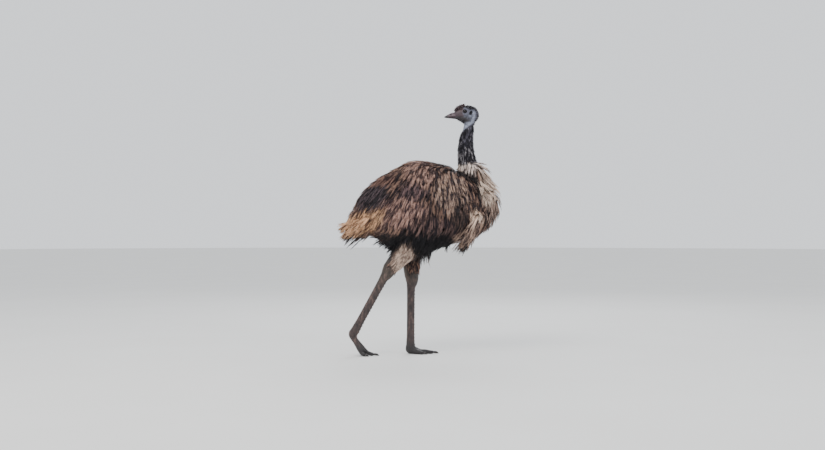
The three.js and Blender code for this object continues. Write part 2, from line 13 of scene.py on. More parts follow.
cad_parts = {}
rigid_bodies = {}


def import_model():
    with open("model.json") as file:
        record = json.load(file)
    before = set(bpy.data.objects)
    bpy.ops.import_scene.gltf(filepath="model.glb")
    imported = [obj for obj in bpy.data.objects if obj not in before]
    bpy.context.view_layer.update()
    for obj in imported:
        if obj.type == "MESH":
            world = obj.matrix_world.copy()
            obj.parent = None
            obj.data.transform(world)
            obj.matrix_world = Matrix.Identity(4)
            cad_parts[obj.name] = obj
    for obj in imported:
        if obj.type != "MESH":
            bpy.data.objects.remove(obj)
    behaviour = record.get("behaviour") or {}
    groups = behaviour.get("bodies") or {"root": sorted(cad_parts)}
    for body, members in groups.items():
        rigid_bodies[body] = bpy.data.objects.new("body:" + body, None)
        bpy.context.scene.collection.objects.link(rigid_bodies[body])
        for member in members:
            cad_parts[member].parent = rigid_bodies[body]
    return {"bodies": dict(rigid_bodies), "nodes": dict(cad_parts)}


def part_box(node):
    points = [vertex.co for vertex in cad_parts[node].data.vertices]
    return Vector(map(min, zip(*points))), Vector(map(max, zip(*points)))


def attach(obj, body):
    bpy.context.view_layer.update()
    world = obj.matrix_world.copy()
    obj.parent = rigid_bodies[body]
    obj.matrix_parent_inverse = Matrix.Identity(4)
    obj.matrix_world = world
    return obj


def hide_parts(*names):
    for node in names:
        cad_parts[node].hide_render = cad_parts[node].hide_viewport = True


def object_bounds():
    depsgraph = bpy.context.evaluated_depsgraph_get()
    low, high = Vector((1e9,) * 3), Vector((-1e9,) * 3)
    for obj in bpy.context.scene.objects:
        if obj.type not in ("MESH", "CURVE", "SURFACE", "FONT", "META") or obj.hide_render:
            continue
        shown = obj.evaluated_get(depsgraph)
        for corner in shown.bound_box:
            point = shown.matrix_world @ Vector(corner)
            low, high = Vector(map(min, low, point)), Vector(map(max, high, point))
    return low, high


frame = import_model()
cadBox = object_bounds()
body = next(iter(frame["bodies"]))
sides = {"left": 1, "right": -1}
print("frame loaded:", len(frame["nodes"]), "nodes, riding on", body)

# The eye on the camera's side ties the bird's own axes to the frame.
eyeSpec = {
    "at": (273, 21.5, 1333),
    "radius": 12.5,
    "opening": (9.7, 8.9),
    "lid": 1.6,  # how far the lids stand over the ball
    "sunk": 2,  # how far the skin draws back inside them
    "pupil": 5.4,
    "iris": 9.2,
    "pupilPaint": (5, 5, 7),
    "irisInner": (34, 20, 15),
    "irisOuter": (16, 11, 11),
    "rimPaint": (14, 12, 15),
}
eyeSide = (eyeSpec["at"][0], eyeSpec["at"][2])  # its middle, seen from the side
eyeLow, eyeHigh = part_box("eye_left")
shift = Vector(
    (
        (eyeLow.x + eyeHigh.x) / 2 - eyeSpec["at"][0] / 1000,
        eyeLow.y + (eyeSpec["at"][1] + eyeSpec["radius"]) / 1000,
        (eyeLow.z + eyeHigh.z) / 2 - eyeSpec["at"][2] / 1000,
    )
)


def place(x, y, z):
    return Vector((x, y, z)) / 1000 + shift


def addObject(name, data):
    made = bpy.data.objects.new(name, data)
    bpy.context.scene.collection.objects.link(made)
    return made


# The camera stands where the photograph was taken from, level, at the height of the belly.
cameraSpec = {"lens": 50, "sensor": 36, "distance": 6302, "middleX": -14, "height": 711}


def makeCamera():
    data = bpy.data.cameras.new("camera")
    data.lens = cameraSpec["lens"]
    data.sensor_width = cameraSpec["sensor"]
    data.sensor_fit = "HORIZONTAL"
    camera = addObject("camera", data)
    camera.location = place(cameraSpec["middleX"], -cameraSpec["distance"], cameraSpec["height"])
    camera.rotation_euler = (math.pi / 2, 0, 0)
    bpy.context.scene.camera = camera


# Shader maths is written as sums: a wire is one output socket of a finish's nodes.
class Wire:
    def __init__(self, finish, socket):
        self.finish = finish
        self.socket = socket

    def math(self, operation, one, other):
        return self.finish.node("Math", {"operation": operation}, {0: one, 1: other})

    def __add__(self, other):
        return self.math("ADD", self, other)

    def __sub__(self, other):
        return self.math("SUBTRACT", self, other)

    def __rsub__(self, other):
        return self.math("SUBTRACT", other, self)

    def __mul__(self, other):
        return self.math("MULTIPLY", self, other)

    def __pow__(self, other):
        return self.math("POWER", self, other)

    def __rpow__(self, other):
        return self.math("POWER", other, self)

    __radd__ = __add__
    __rmul__ = __mul__


def paint(red, green, blue):
    linear = []
    for share in (red / 255, green / 255, blue / 255):
        linear.append(share / 12.92 if share <= 0.04045 else ((share + 0.055) / 1.055) ** 2.4)
    return (*linear, 1.0)


# One material, its nodes and its main shader.
class Finish:
    def __init__(self, name):
        self.material = bpy.data.materials.new(name)
        self.material.use_nodes = True
        self.tree = self.material.node_tree
        self.shader = self.tree.nodes["Principled BSDF"]

    # Any node: its type, its settings, then the values or links of its sockets.
    def node(self, kind, settings=None, inputs=None, output=0):
        made = self.tree.nodes.new("ShaderNode" + kind)
        for key, value in (settings or {}).items():
            setattr(made, key, value)
        for key, value in (inputs or {}).items():
            self.feed(made.inputs[key], value)
        return Wire(self, made.outputs[output])

    def feed(self, socket, value):
        if isinstance(value, Wire):
            self.tree.links.new(value.socket, socket)
        else:
            socket.default_value = value

    def set(self, **values):
        for key, value in values.items():
            self.feed(self.shader.inputs[key.replace("_", " ")], value)

    # Two colours, each a wire or three numbers from 0 to 255.
    def mix(self, one, other, share):
        under, over = (paint(*colour) if isinstance(colour, tuple) else colour for colour in (one, other))
        return self.node("Mix", {"data_type": "RGBA"}, {0: share, 6: under, 7: over}, 2)

    # Colours laid over the first one after another, each through its own mask.
    def layers(self, colour, *coats):
        for over, mask in coats:
            colour = self.mix(colour, over, mask)
        return colour

    def step(self, value, low, high):
        settings = {"interpolation_type": "SMOOTHSTEP"}
        return self.node("MapRange", settings, {0: value, 1: low, 2: high, 3: 0.0, 4: 1.0})

    def noise(self, spot, scale, detail=3.0, rough=0.5):
        inputs = {"Vector": spot, "Scale": scale, "Detail": detail, "Roughness": rough}
        return self.node("TexNoise", None, inputs)

    def vector(self, operation, one, other):
        return self.node("VectorMath", {"operation": operation}, {0: one, 1: other})

    def split(self, vector):
        return [self.node("SeparateXYZ", None, {0: vector}, k) for k in range(3)]

    def attribute(self, name, output):
        return self.node("Attribute", {"attribute_name": name}, None, output)

    # Object coordinates, in metres in the bird's own axes.
    def birdSpot(self):
        return self.vector("SUBTRACT", self.node("TexCoord", None, None, "Object"), tuple(shift))

    # How far out in a tilted oval a spot is, seen from the side: 0 in its middle and 1 on its rim.
    def oval(self, x, z, at, half, tilt=0.0):
        ahead = x - at[0] / 1000
        above = z - at[1] / 1000
        cosine = math.cos(tilt) * 1000
        sine = math.sin(tilt) * 1000
        across = ahead * (cosine / half[0]) - above * (sine / half[0])
        along = ahead * (sine / half[1]) + above * (cosine / half[1])
        return (across * across + along * along) ** 0.5

    # How far a spot is off a sloping line through a foot.
    def offLine(self, along, across, foot, slope):
        off = across - foot[1] - (along - foot[0]) * slope
        return self.node("Math", {"operation": "ABSOLUTE"}, {0: off})

    def bump(self, height, strength, distance):
        inputs = {"Height": height, "Strength": strength, "Distance": distance}
        self.set(Normal=self.node("Bump", None, inputs))


# What each part of the coat looks like from the side: the middle of the patch in x and z, its half
# sizes, its tilt, the colours of its dark and its light feathers, and the share that is light.
markSpec = {
    "base": {"dark": (44, 34, 38), "light": (152, 120, 104), "share": 0.42},
    "edge": 0.22,  # how softly one patch runs into the next
    "wander": 0.35,
    "softness": 0.14,  # how softly dark feathers turn into light ones
    "patches": {
        "topOfBack": ((20, 985), (85, 85), 0, (68, 52, 52), (194, 156, 140), 0.54),
        "rearBand": ((-172, 950), (85, 34), 28, (66, 48, 48), (158, 122, 106), 0.5),
        "rearPatch": ((-232, 850), (96, 62), 35, (42, 37, 41), (106, 90, 94), 0.36),
        "flank": ((-70, 765), (140, 85), 8, (70, 53, 56), (188, 150, 136), 0.6),
        "midFlank": ((-25, 880), (90, 36), 0, (54, 44, 49), (138, 110, 108), 0.36),
        "lowFlank": ((120, 690), (170, 46), 0, (44, 34, 39), (124, 98, 92), 0.34),
        # near black: the belly's own dark feathers, darkened further as painted shade under the body
        "belly": ((20, 585), (330, 72), 0, (15, 14, 18), (38, 34, 38), 0.15),
        "shoulder": ((195, 870), (100, 100), 0, (56, 46, 49), (190, 160, 142), 0.54),
        "breastSide": ((245, 748), (40, 75), 0, (42, 35, 37), (108, 86, 78), 0.3),
        "neckBand": ((285, 972), (78, 20), -35, (28, 25, 28), (84, 68, 62), 0.2),
        "chestBand": ((345, 895), (20, 62), 8, (30, 26, 29), (84, 68, 62), 0.2),
        "chest": ((408, 895), (58, 105), 0, (142, 124, 114), (230, 208, 190), 0.82),
        "lowChest": ((420, 765), (58, 54), 0, (48, 41, 43), (172, 146, 132), 0.5),
        "ruff": ((312, 1022), (82, 36), 0, (150, 134, 128), (244, 226, 214), 0.88),
        "fluff": ((332, 735), (44, 48), 0, (152, 124, 110), (242, 214, 192), 0.84),
        "tail": ((-300, 715), (135, 60), 20, (106, 78, 62), (234, 188, 148), 0.68),
        "drumstick": ((-66, 515), (62, 78), -20, (128, 106, 94), (222, 196, 178), 0.74),
        "wingTuft": ((290, 625), (75, 70), 0, (60, 48, 47), (194, 164, 146), 0.54),
        "wingTips": ((250, 560), (80, 32), 0, (32, 27, 28), (72, 58, 54), 0.2),
        "underTail": ((-270, 628), (130, 24), 0, (34, 27, 28), (80, 60, 52), 0.3),
    },
    "shadedOnFarSide": ["drumstick"],  # pale only on the near side, so the far thigh keeps darker colours as painted shade
    "nearSide": (0.01, -0.03),
}


# The colour of the plumage at a spot, for a feather of the given tone from 0 to 1.
def markings(finish, spot, tone):
    x, y, z = finish.split(spot)
    wobble = (finish.noise(spot, 14.0) - 0.5) * (2 * markSpec["wander"])
    nearSide = finish.step(y, *markSpec["nearSide"])
    dark, light, share = markSpec["base"].values()
    for name, (at, half, tilt, darkPaint, lightPaint, lightShare) in markSpec["patches"].items():
        far = finish.oval(x, z, at, half, -math.radians(tilt)) + wobble
        mask = finish.step(far, 1 + markSpec["edge"], 1 - markSpec["edge"])
        # painted shade: on the far side these patches are left off, so the thigh stays darker
        if name in markSpec["shadedOnFarSide"]:
            mask = mask * nearSide
        dark = finish.mix(dark, darkPaint, mask)
        light = finish.mix(light, lightPaint, mask)
        share = finish.node("Mix", None, {0: mask, 2: share, 3: lightShare})
    return finish.mix(dark, light, finish.step(share - tone, -markSpec["softness"], markSpec["softness"]))


coatPaint = {
    "plumage": {"tip": (34, 28, 30), "tipShare": 0.5},
    "hair": {
        "tip": (24, 23, 28),
        "tipShare": 0.3,
        "dark": (34, 31, 38),
        "light": (110, 106, 120),
        "share": 0.12,
        "fleck": (186, 180, 184),
        "streak": 0.7,
    },
    "brow": {
        "tip": (48, 38, 40),
        "tipShare": 0.4,
        "dark": (58, 44, 48),
        "light": (104, 84, 86),
        "share": 0.32,
        "fleck": (104, 84, 86),
        "streak": 0.0,
    },
}
# Pale flecks low on the neck, and a pale streak up its side, in metres.
hairSpec = {
    "fleckBelow": (1.15, 1.08),
    "fleckShare": 0.2,
    "streakFoot": (1.16, 0.27),
    "streakSlope": 0.46,
    "streakHalf": (0.007, 0.002),
    "streakAbove": (1.15, 1.17),
}


def makeCoatFinish(name):
    look = coatPaint[name]
    finish = Finish(name)
    spot = finish.vector("SUBTRACT", finish.attribute("place", "Vector"), tuple(shift))
    tone = finish.attribute("tone", "Fac")
    along = finish.attribute("along", "Fac")
    if "dark" in look:
        x, _, z = finish.split(spot)
        fleck = finish.step(z, *hairSpec["fleckBelow"]) * hairSpec["fleckShare"]
        offStreak = finish.offLine(z, x, hairSpec["streakFoot"], hairSpec["streakSlope"])
        streak = finish.step(offStreak, *hairSpec["streakHalf"]) * finish.step(z, *hairSpec["streakAbove"])
        colour = finish.layers(
            look["dark"],
            (look["light"], finish.step(look["share"] - tone, -0.1, 0.1)),
            (look["fleck"], finish.step(fleck - tone, -0.05, 0.05)),
            (look["light"], streak * look["streak"]),
        )
    else:
        colour = markings(finish, spot, tone)
    shade = finish.step(along, 0.0, 0.5) * 0.55 + 0.45  # painted shade: darker at the root, deep in the coat
    fine = finish.noise(finish.birdSpot(), 260.0, 2.0) * 0.5 + 0.75
    colour = finish.node("VectorMath", {"operation": "SCALE"}, {0: colour, "Scale": shade * fine})
    colour = finish.mix(colour, look["tip"], finish.step(along, 0.8, 1.0) * look["tipShare"])
    finish.set(Base_Color=colour, Roughness=0.62, Specular_IOR_Level=0.35)
    return finish.material


# Bare skin of the head and neck, scaly skin of the legs, and the coat's own colours under the coat,
# darkened there as painted shade.
skinPaint = {
    "blue": (92, 95, 110),
    "pale": (137, 142, 159),
    "mottle": (58, 56, 70),
    "crown": (36, 34, 37),
    "ear": (20, 20, 29),
    "chin": (44, 40, 43),
    "lore": (60, 46, 52),
    "brow": (72, 56, 58),
    "neck": (54, 52, 65),
    "leg": (60, 45, 43),
    "legPale": (104, 82, 75),
    "legDark": (26, 20, 22),
    "ankle": (66, 54, 44),
    "sole": (36, 32, 33),
    "scaleGap": (34, 30, 31),
}

# Soft marks on the head, seen from the side: middle in x and z, half sizes, softness and strength.
headMarks = {
    "cheek": ((286, 1301), (21, 17), 0.55, 0.55),
    "aroundEye": ((271, 1334), (24, 18), 0.45, 0.85),
    "chin": ((248, 1287), (48, 18), 0.35, 1.0),
    "brow": ((238, 1345), (26, 15), 0.35, 1.0),
}

# Where one stretch of skin runs into the next, in metres.
skinEdges = {
    "neck": (1.256, 1.242),
    "crown": (1.350, 1.360),
    "loreEnd": (0.274, 0.256),
    "loreFoot": (1.294, 1.304),
    "gapeEnd": (0.266, 0.258),
    "gapeHalf": (0.0015, 0.0006),
    "head": (1.05, 1.09),
    "leg": (0.54, 0.50),
    "ankle": (0.34, 0.46),
    "sole": (0.09, 0.03),
}


def makeSkinFinish():
    finish = Finish("skin")
    spot = finish.birdSpot()
    x, _, z = finish.split(spot)
    cloud = finish.noise(spot, 60.0, 4.0)
    fine = finish.noise(spot, 240.0)
    wander = cloud - 0.5
    ear = headSpec["ear"]

    def blot(at, half, edge, strength, tilt=0.0):
        far = finish.oval(x, z, at, half, tilt) + wander * 0.6
        return finish.step(far, 1 + edge, 1 - edge) * strength

    lore = finish.step(x + wander * 0.02, *skinEdges["loreEnd"])
    lore = lore * finish.step(z + wander * 0.02, *skinEdges["loreFoot"])
    offGape = finish.offLine(x, z, *headSpec["gape"]) + (fine - 0.5) * 0.001
    gape = finish.step(offGape, *skinEdges["gapeHalf"]) * finish.step(x, *skinEdges["gapeEnd"])
    lid = finish.oval(x, z, eyeSide, eyeSpec["opening"])
    head = finish.layers(
        skinPaint["blue"],
        (skinPaint["pale"], finish.step(cloud, 0.42, 0.62)),
        (skinPaint["mottle"], finish.step(fine, 0.5, 0.72) * 0.5),
        (skinPaint["neck"], finish.step(z - (x - 0.29) * 0.75, *skinEdges["neck"])),
        (skinPaint["ear"], blot(*headMarks["cheek"])),
        (skinPaint["mottle"], blot(*headMarks["aroundEye"])),
        (skinPaint["lore"], lore),
        (skinPaint["chin"], blot(*headMarks["chin"])),
        (skinPaint["brow"], blot(*headMarks["brow"])),
        (skinPaint["crown"], finish.step(z + (x - 0.27) * 0.25, *skinEdges["crown"])),
        (skinPaint["ear"], blot(ear["at"], ear["stain"], 0.15, 1.0, ear["tilt"])),
        (billPaint["mouth"], gape),
        (skinPaint["mottle"], finish.step(lid, 1.5, 1.25) * 0.6),
        (skinPaint["ear"], finish.step(lid, 1.22, 1.1)),
    )
    tone = finish.noise(finish.vector("MULTIPLY", spot, (1, 1, 0.25)), 60.0, 2.0)
    # painted shade: the coat's colours at 0.55 on the skin deep under the coat
    coat = finish.vector("MULTIPLY", markings(finish, spot, tone), (0.55, 0.55, 0.55))
    settings = {"feature": "DISTANCE_TO_EDGE"}
    scales = finish.node("TexVoronoi", settings, {"Vector": spot, "Scale": 210.0})
    gap = finish.step(scales, 0.0, 0.1)
    stain = finish.noise(finish.vector("MULTIPLY", spot, (1, 1, 0.4)), 70.0, 5.0, 0.62)
    leg = finish.layers(
        skinPaint["leg"],
        (skinPaint["ankle"], finish.step(z, *skinEdges["ankle"])),
        (skinPaint["legPale"], finish.step(stain, 0.5, 0.66) * 0.85),
        (skinPaint["legDark"], finish.step(stain, 0.48, 0.34) * 0.85),
        (skinPaint["sole"], finish.step(z, *skinEdges["sole"])),
        (skinPaint["scaleGap"], (1 - gap) * 0.75),
        (skinPaint["scaleGap"], finish.attribute("plateEdge", "Fac") * 0.75),
    )
    isLeg = finish.step(z, *skinEdges["leg"])
    isHead = finish.step(z, *skinEdges["head"])
    colour = finish.layers(coat, (leg, isLeg), (head, isHead))
    finish.set(Base_Color=colour, Roughness=0.58 - isLeg * 0.08)
    finish.bump(gap * isLeg + fine * 0.4 * (1 - isLeg), 0.6, 0.0016)
    return finish.material


billPaint = {
    "body": (84, 66, 74),
    "ridge": (62, 47, 53),
    "edge": (40, 30, 35),
    "tip": (28, 25, 27),
    "mouth": (22, 16, 18),
}


def makeBillFinish():
    finish = Finish("bill")
    spot = finish.birdSpot()
    x, _, z = finish.split(spot)
    cloud = finish.noise(spot, 120.0, 4.0)
    grain = finish.noise(finish.vector("MULTIPLY", spot, (0.3, 1, 1.4)), 300.0)
    nostril = billSpec["nostril"]
    colour = finish.layers(
        billPaint["body"],
        (billPaint["ridge"], finish.step(cloud, 0.4, 0.65)),
        (billPaint["edge"], finish.step(z + cloud * 0.006, 1.311, 1.303)),
        (billPaint["tip"], finish.step(x + cloud * 0.02, 0.196, 0.182)),
        (billPaint["mouth"], finish.step(finish.offLine(x, z, *billSpec["mouth"]), 0.0014, 0.0005)),
        (billPaint["mouth"], finish.step(finish.oval(x, z, *nostril["oval"]), 1.1, 0.6)),
    )
    finish.set(Base_Color=colour, Roughness=0.38 + grain * 0.2)
    finish.bump(grain, 0.25, 0.0006)
    return finish.material


def makeEyeFinish():
    finish = Finish("eye")
    spot = finish.birdSpot()
    x, _, z = finish.split(spot)
    far = finish.oval(x, z, eyeSide, (1, 1))  # in millimetres
    rays = far + finish.noise(spot, 900.0, 2.0) * 1.2
    pupil = eyeSpec["pupil"]
    edge = eyeSpec["iris"]
    iris = finish.mix(eyeSpec["irisInner"], eyeSpec["irisOuter"], finish.step(rays, pupil, edge))
    colour = finish.layers(
        eyeSpec["pupilPaint"],
        (iris, finish.step(rays, pupil, pupil + 1)),
        (eyeSpec["rimPaint"], finish.step(far, edge, edge + 1)),
    )
    finish.set(Base_Color=colour, Roughness=0.12, Specular_IOR_Level=0.2)
    finish.set(Coat_Weight=0.15, Coat_Roughness=0.03)
    return finish.material


clawPaint = {"dark": (30, 27, 27), "worn": (62, 55, 52)}
floorPaint = {"one": (222, 221, 218), "other": (228, 228, 226)}


def makeClawFinish():
    finish = Finish("claw")
    grain = finish.noise(finish.vector("MULTIPLY", finish.birdSpot(), (0.4, 1, 1)), 420.0)
    colour = finish.mix(clawPaint["dark"], clawPaint["worn"], finish.step(grain, 0.45, 0.75))
    finish.set(Base_Color=colour, Roughness=0.34 + grain * 0.2)
    finish.bump(grain, 0.3, 0.0005)
    return finish.material


def makeFloorFinish():
    finish = Finish("floor")
    cloud = finish.noise(finish.birdSpot(), 1.5, 2.0)
    finish.set(Base_Color=finish.mix(floorPaint["one"], floorPaint["other"], cloud), Roughness=0.8)
    return finish.material


def addPiece(name, mesh, material, nodes=()):
    made = addObject(name, mesh)
    mesh.materials.append(material)
    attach(made, body)
    if nodes:
        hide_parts(*nodes)
    return made


def finishMesh(bm, name):
    bmesh.ops.recalc_face_normals(bm, faces=bm.faces)
    mesh = bpy.data.meshes.new(name)
    bm.to_mesh(mesh)
    bm.free()
    mesh.shade_smooth()
    return mesh


# A smooth reading of a table of rows, from 0 at its first row to 1 at its last.
def readRow(rows, share):
    last = len(rows) - 1
    k = min(max(int(share * last), 0), last - 1)
    u = share * last - k
    before = rows[max(k - 1, 0)]
    after = rows[min(k + 2, last)]
    startSlope = (rows[k + 1] - before) / (2 if k > 0 else 1)
    endSlope = (after - rows[k]) / (2 if k + 2 <= last else 1)
    return (
        rows[k] * (2 * u**3 - 3 * u**2 + 1)
        + startSlope * (u**3 - 2 * u**2 + u)
        + rows[k + 1] * (3 * u**2 - 2 * u**3)
        + endSlope * (u**3 - u**2)
    )


# Rings around a form, joined and closed. ringAt gives, for each, the place of a spot on its circle.
def addRings(bm, count, around, ringAt):
    loops = []
    for k in range(count):
        spotAt = ringAt(k)
        ring = bmesh.ops.create_circle(bm, segments=around, radius=1)["verts"]
        for vert in ring:
            vert.co = spotAt(vert.co.x, vert.co.y)
        loops.append(list({edge for vert in ring for edge in vert.link_edges}))
    for one, other in zip(loops, loops[1:]):
        bmesh.ops.bridge_loops(bm, edges=one + other)
    bmesh.ops.edgeloop_fill(bm, edges=loops[0])
    bmesh.ops.edgeloop_fill(bm, edges=loops[-1])


# A closed tapering form through rows of x, y, z, half height up and down, and half width.
def addLimb(bm, rows, across=(0, 1, 0), steps=12, around=24, pear=0, grow=0):
    rows = np.array(rows, float)

    def ringAt(k):
        share = k / steps
        row = readRow(rows, share)
        ahead = readRow(rows, min(share + 0.01, 1)) - readRow(rows, max(share - 0.01, 0))
        way = Vector(ahead[:3]).normalized()
        out = way.cross(Vector(across)).normalized()
        flat = out.cross(way).normalized()
        up, down, wide = (max(size + grow, skinSpec["thinnest"]) for size in row[3:6])

        def spotAt(sideways, outwards):
            spot = Vector(row[:3]) + flat * (sideways * wide * (1 - pear * outwards))
            spot += out * (outwards * (up if outwards > 0 else down))
            return place(*spot)

        return spotAt

    addRings(bm, steps + 1, around, ringAt)


def addBall(bm, at, half):
    ball = bmesh.ops.create_uvsphere(bm, u_segments=24, v_segments=12, radius=1)["verts"]
    for vert in ball:
        vert.co = place(*[a + h * c for a, h, c in zip(at, half, vert.co)])


# The body under its coat: x, y, z of the middle line, half height above and below it, half width.
torsoSpec = {
    "rows": [
        (-326, 0, 724, 8, 8, 10),
        (-312, 0, 732, 44, 46, 50),
        (-276, 0, 752, 82, 92, 88),
        (-222, 0, 780, 130, 146, 134),
        (-148, 0, 798, 184, 194, 174),
        (-50, 0, 800, 245, 236, 200),
        (40, 0, 801, 260, 238, 204),
        (130, 0, 805, 240, 210, 194),
        (220, 0, 810, 214, 172, 170),
        (300, 0, 822, 184, 146, 142),
        (362, 0, 842, 134, 110, 112),
        (402, 0, 860, 92, 70, 80),
        (423, 0, 868, 50, 36, 46),
        (431, 0, 870, 8, 8, 8),
    ],
    "pear": 0.14,
    "sink": 7,  # how far the skin lies inside the solid core of the coat
}
tailSpec = {
    "rows": [
        (-240, 0, 772, 66, 66, 78),
        (-285, 0, 744, 62, 62, 74),
        (-330, 0, 712, 44, 44, 54),
        (-356, 0, 692, 22, 22, 28),
    ],
    "sink": 8,
}
neckSpec = {
    "rows": [
        (314, 0, 882, 80, 80, 78),
        (306, 0, 972, 68, 68, 64),
        (289, 0, 1040, 47, 47, 45),
        (279, 0, 1105, 38, 38, 36),
        (279, 0, 1170, 32, 32, 30),
        (288, 0, 1230, 26, 26, 25),
        (300, 0, 1282, 27, 27, 24),
    ],
}
headSpec = {
    "rows": [
        (343, 0, 1303, 8, 8, 7),
        (338, 0, 1305, 24, 24, 19),
        (324, 0, 1309, 41, 41, 29),
        (303, 0, 1314, 48, 48, 34),
        (281, 0, 1319, 47, 47, 34),
        (260, 0, 1319, 42, 42, 31),
        (240, 0, 1316, 32, 31, 26),
        (226, 0, 1312, 23, 21, 21),
        (214, 0, 1309, 17, 14, 16),
        (206, 0, 1308, 9, 8, 9),
    ],
    "ear": {
        "at": (305, 1324.5),
        "half": (6.5, 10.5),
        "tilt": 0.4,
        "deep": 7,
        "rim": 2.5,
        "stain": (9.5, 14.5),  # the half sizes of its dark patch
    },
    "gape": ((0.228, 1.3078), -0.16),  # a point on its line in metres, and the slope
}
billSpec = {
    "rows": [
        (228, 0, 1308, 22, 14, 20),
        (215, 0, 1307, 22.5, 13, 20),
        (198, 0, 1306, 20, 10, 17),
        (180, 0, 1305, 12.5, 7, 13),
        (167, 0, 1304, 6.5, 4, 9),
        (160.5, 0, 1303, 2.5, 1.8, 5),
    ],
    # the middle in x and z, the half sizes and the tilt of the hole
    "nostril": {"oval": ((196, 1316.5), (9, 2.8), 0.3), "deep": 4, "groove": (2, 2.2), "grooveDeep": 0.9},
    "mouth": ((0.1605, 1.3031), 0.074),  # a point on its line in metres, and the slope
    "mouthGap": 0.1,
    "ridge": (1.4, 0.22),  # how high it stands, and its half width as a share of the bill's
    "lowerEnd": 0.97,
    "lowerTrim": 1,
    "steps": 44,
}
wingSpec = {
    "rows": [
        (352, 118, 762, 20, 20, 12),
        (336, 146, 726, 24, 24, 15),
        (312, 152, 682, 22, 22, 14),
        (290, 142, 642, 15, 15, 10),
    ],
}
legSpec = {
    "left": {"knee": (-20, 100, 670), "ankle": (-22, 50, 424), "toeJoint": (-26, 24, 34), "foot": "flat"},
    "right": {
        "knee": (30, -118, 660),
        "ankle": (-143, -88, 472),
        "toeJoint": (-335, -72, 122),
        "foot": "raised",
    },
    # along knee to ankle: share, half depth, half width
    "thigh": [
        (-0.3, 44, 38),
        (0, 80, 62),
        (0.35, 70, 54),
        (0.62, 54, 43),
        (0.82, 45, 36),
        (0.93, 39, 31),
        (1.0, 37, 30),
    ],
    "thighSink": 6,
    # along ankle to toe joint: share, how far forward, half depth, half width
    "shank": [
        (-0.12, 2, 27, 22),
        (-0.05, 3, 35, 29),
        (0.02, 5, 36, 30),
        (0.08, 5, 31, 26),
        (0.14, 1, 24, 21),
        (0.22, 0, 21, 17.5),
        (0.5, 0, 20.5, 15.5),
        (0.8, 0, 20.5, 16.5),
        (0.92, 0, 22.5, 21),
        (1.0, 0, 23, 23),
    ],
    "heel": (25, 23, 31),
}
toeSpec = {
    "lengths": {"inner": 84, "middle": 132, "outer": 90},
    "splay": {"inner": -0.5, "middle": 0.02, "outer": 0.52},
    "clawLengths": {"inner": 19, "middle": 25, "outer": 19},
    # along a toe or claw: millimetres and share of its length, height, half height up and down, half width
    "flat": [
        (-6, 0, 31, 20, 25, 21),
        (0, 0.22, 22, 17, 24, 17),
        (0, 0.42, 15, 12, 16.5, 13),
        (0, 0.6, 14, 13, 16, 15),
        (0, 0.8, 11.5, 10, 13.5, 12),
        (0, 0.93, 10.5, 9.5, 12.5, 12),
        (0, 1, 9.5, 6.5, 8, 8),
    ],
    "raised": [
        (-6, 0, 118, 20, 22, 21),
        (2, 0, 98, 16, 20, 18),
        (0, 0.18, 76, 12, 16, 14),
        (0, 0.38, 45, 12, 15, 14),
        (0, 0.58, 20, 10, 14, 12),
        (0, 0.76, 10.5, 9.5, 12.5, 12),
        (0, 0.87, 8.5, 6.5, 7.5, 8),
    ],
    "claw": [
        (-5, 0, 0, 5.2, 5.2, 5.2),
        (0.3, 0, 0, 6.4, 6.4, 6.4),
        (0, 0.35, 0, 6, 7, 6),
        (0, 0.7, -2, 4, 6, 4.4),
        (0, 1, -6, 1, 1.4, 1.4),
    ],
}
backwards = (0, -1, 0)  # across a form that runs towards the tail, so that its up is up


def easeStep(value, low, high):
    share = min(max((value - low) / (high - low), 0), 1)
    return share * share * (3 - 2 * share)


def between(one, other, share, forward=0):
    spot = [a + (b - a) * share for a, b in zip(one, other)]
    return (spot[0] + forward, spot[1], spot[2])


# A table of toes or claws, as rows ahead of a start and above a height.
def rowsAhead(table, start, ahead, reach, above=0):
    rows = []
    for first, share, height, *sizes in toeSpec[table]:
        out = first + reach * share
        rows.append((start[0] + ahead[0] * out, start[1] + ahead[1] * out, above + height, *sizes))
    return rows


def toeRows(side, toe):
    leg = legSpec[side]
    turn = sides[side] * toeSpec["splay"][toe]
    ahead = (math.cos(turn), math.sin(turn))
    rows = rowsAhead(leg["foot"], leg["toeJoint"], ahead, toeSpec["lengths"][toe])
    return rows, ahead, (-ahead[1], ahead[0], 0)


def thighRows(side):
    leg = legSpec[side]
    rows = []
    for share, deep, wide in legSpec["thigh"]:
        sink = legSpec["thighSink"] * (1 - easeStep(share, 0.55, 0.95))
        rows.append((*between(leg["knee"], leg["ankle"], share), deep - sink, deep - sink, wide - sink))
    return rows


def shankRows(side):
    leg = legSpec[side]
    ends = (leg["ankle"], leg["toeJoint"])
    return [(*between(*ends, u, forward), deep, deep, wide) for u, forward, deep, wide in legSpec["shank"]]


skinSpec = {
    "voxel": 0.0058,
    "smoothing": 3,
    "fineSmoothing": 2,
    "grow": {"head": 1.6, "shank": 1.5, "wing": -2},
    "thinnest": 0.4,
    "floorGap": 0.4,
    # heights above and below which the skin is made finer, and then smoothed once more
    "head": (1262, 1250),
    "leg": (470, 480),
    "folds": [(0.09, 0.8), (0.3, 0.25)],  # how fine and how deep
}


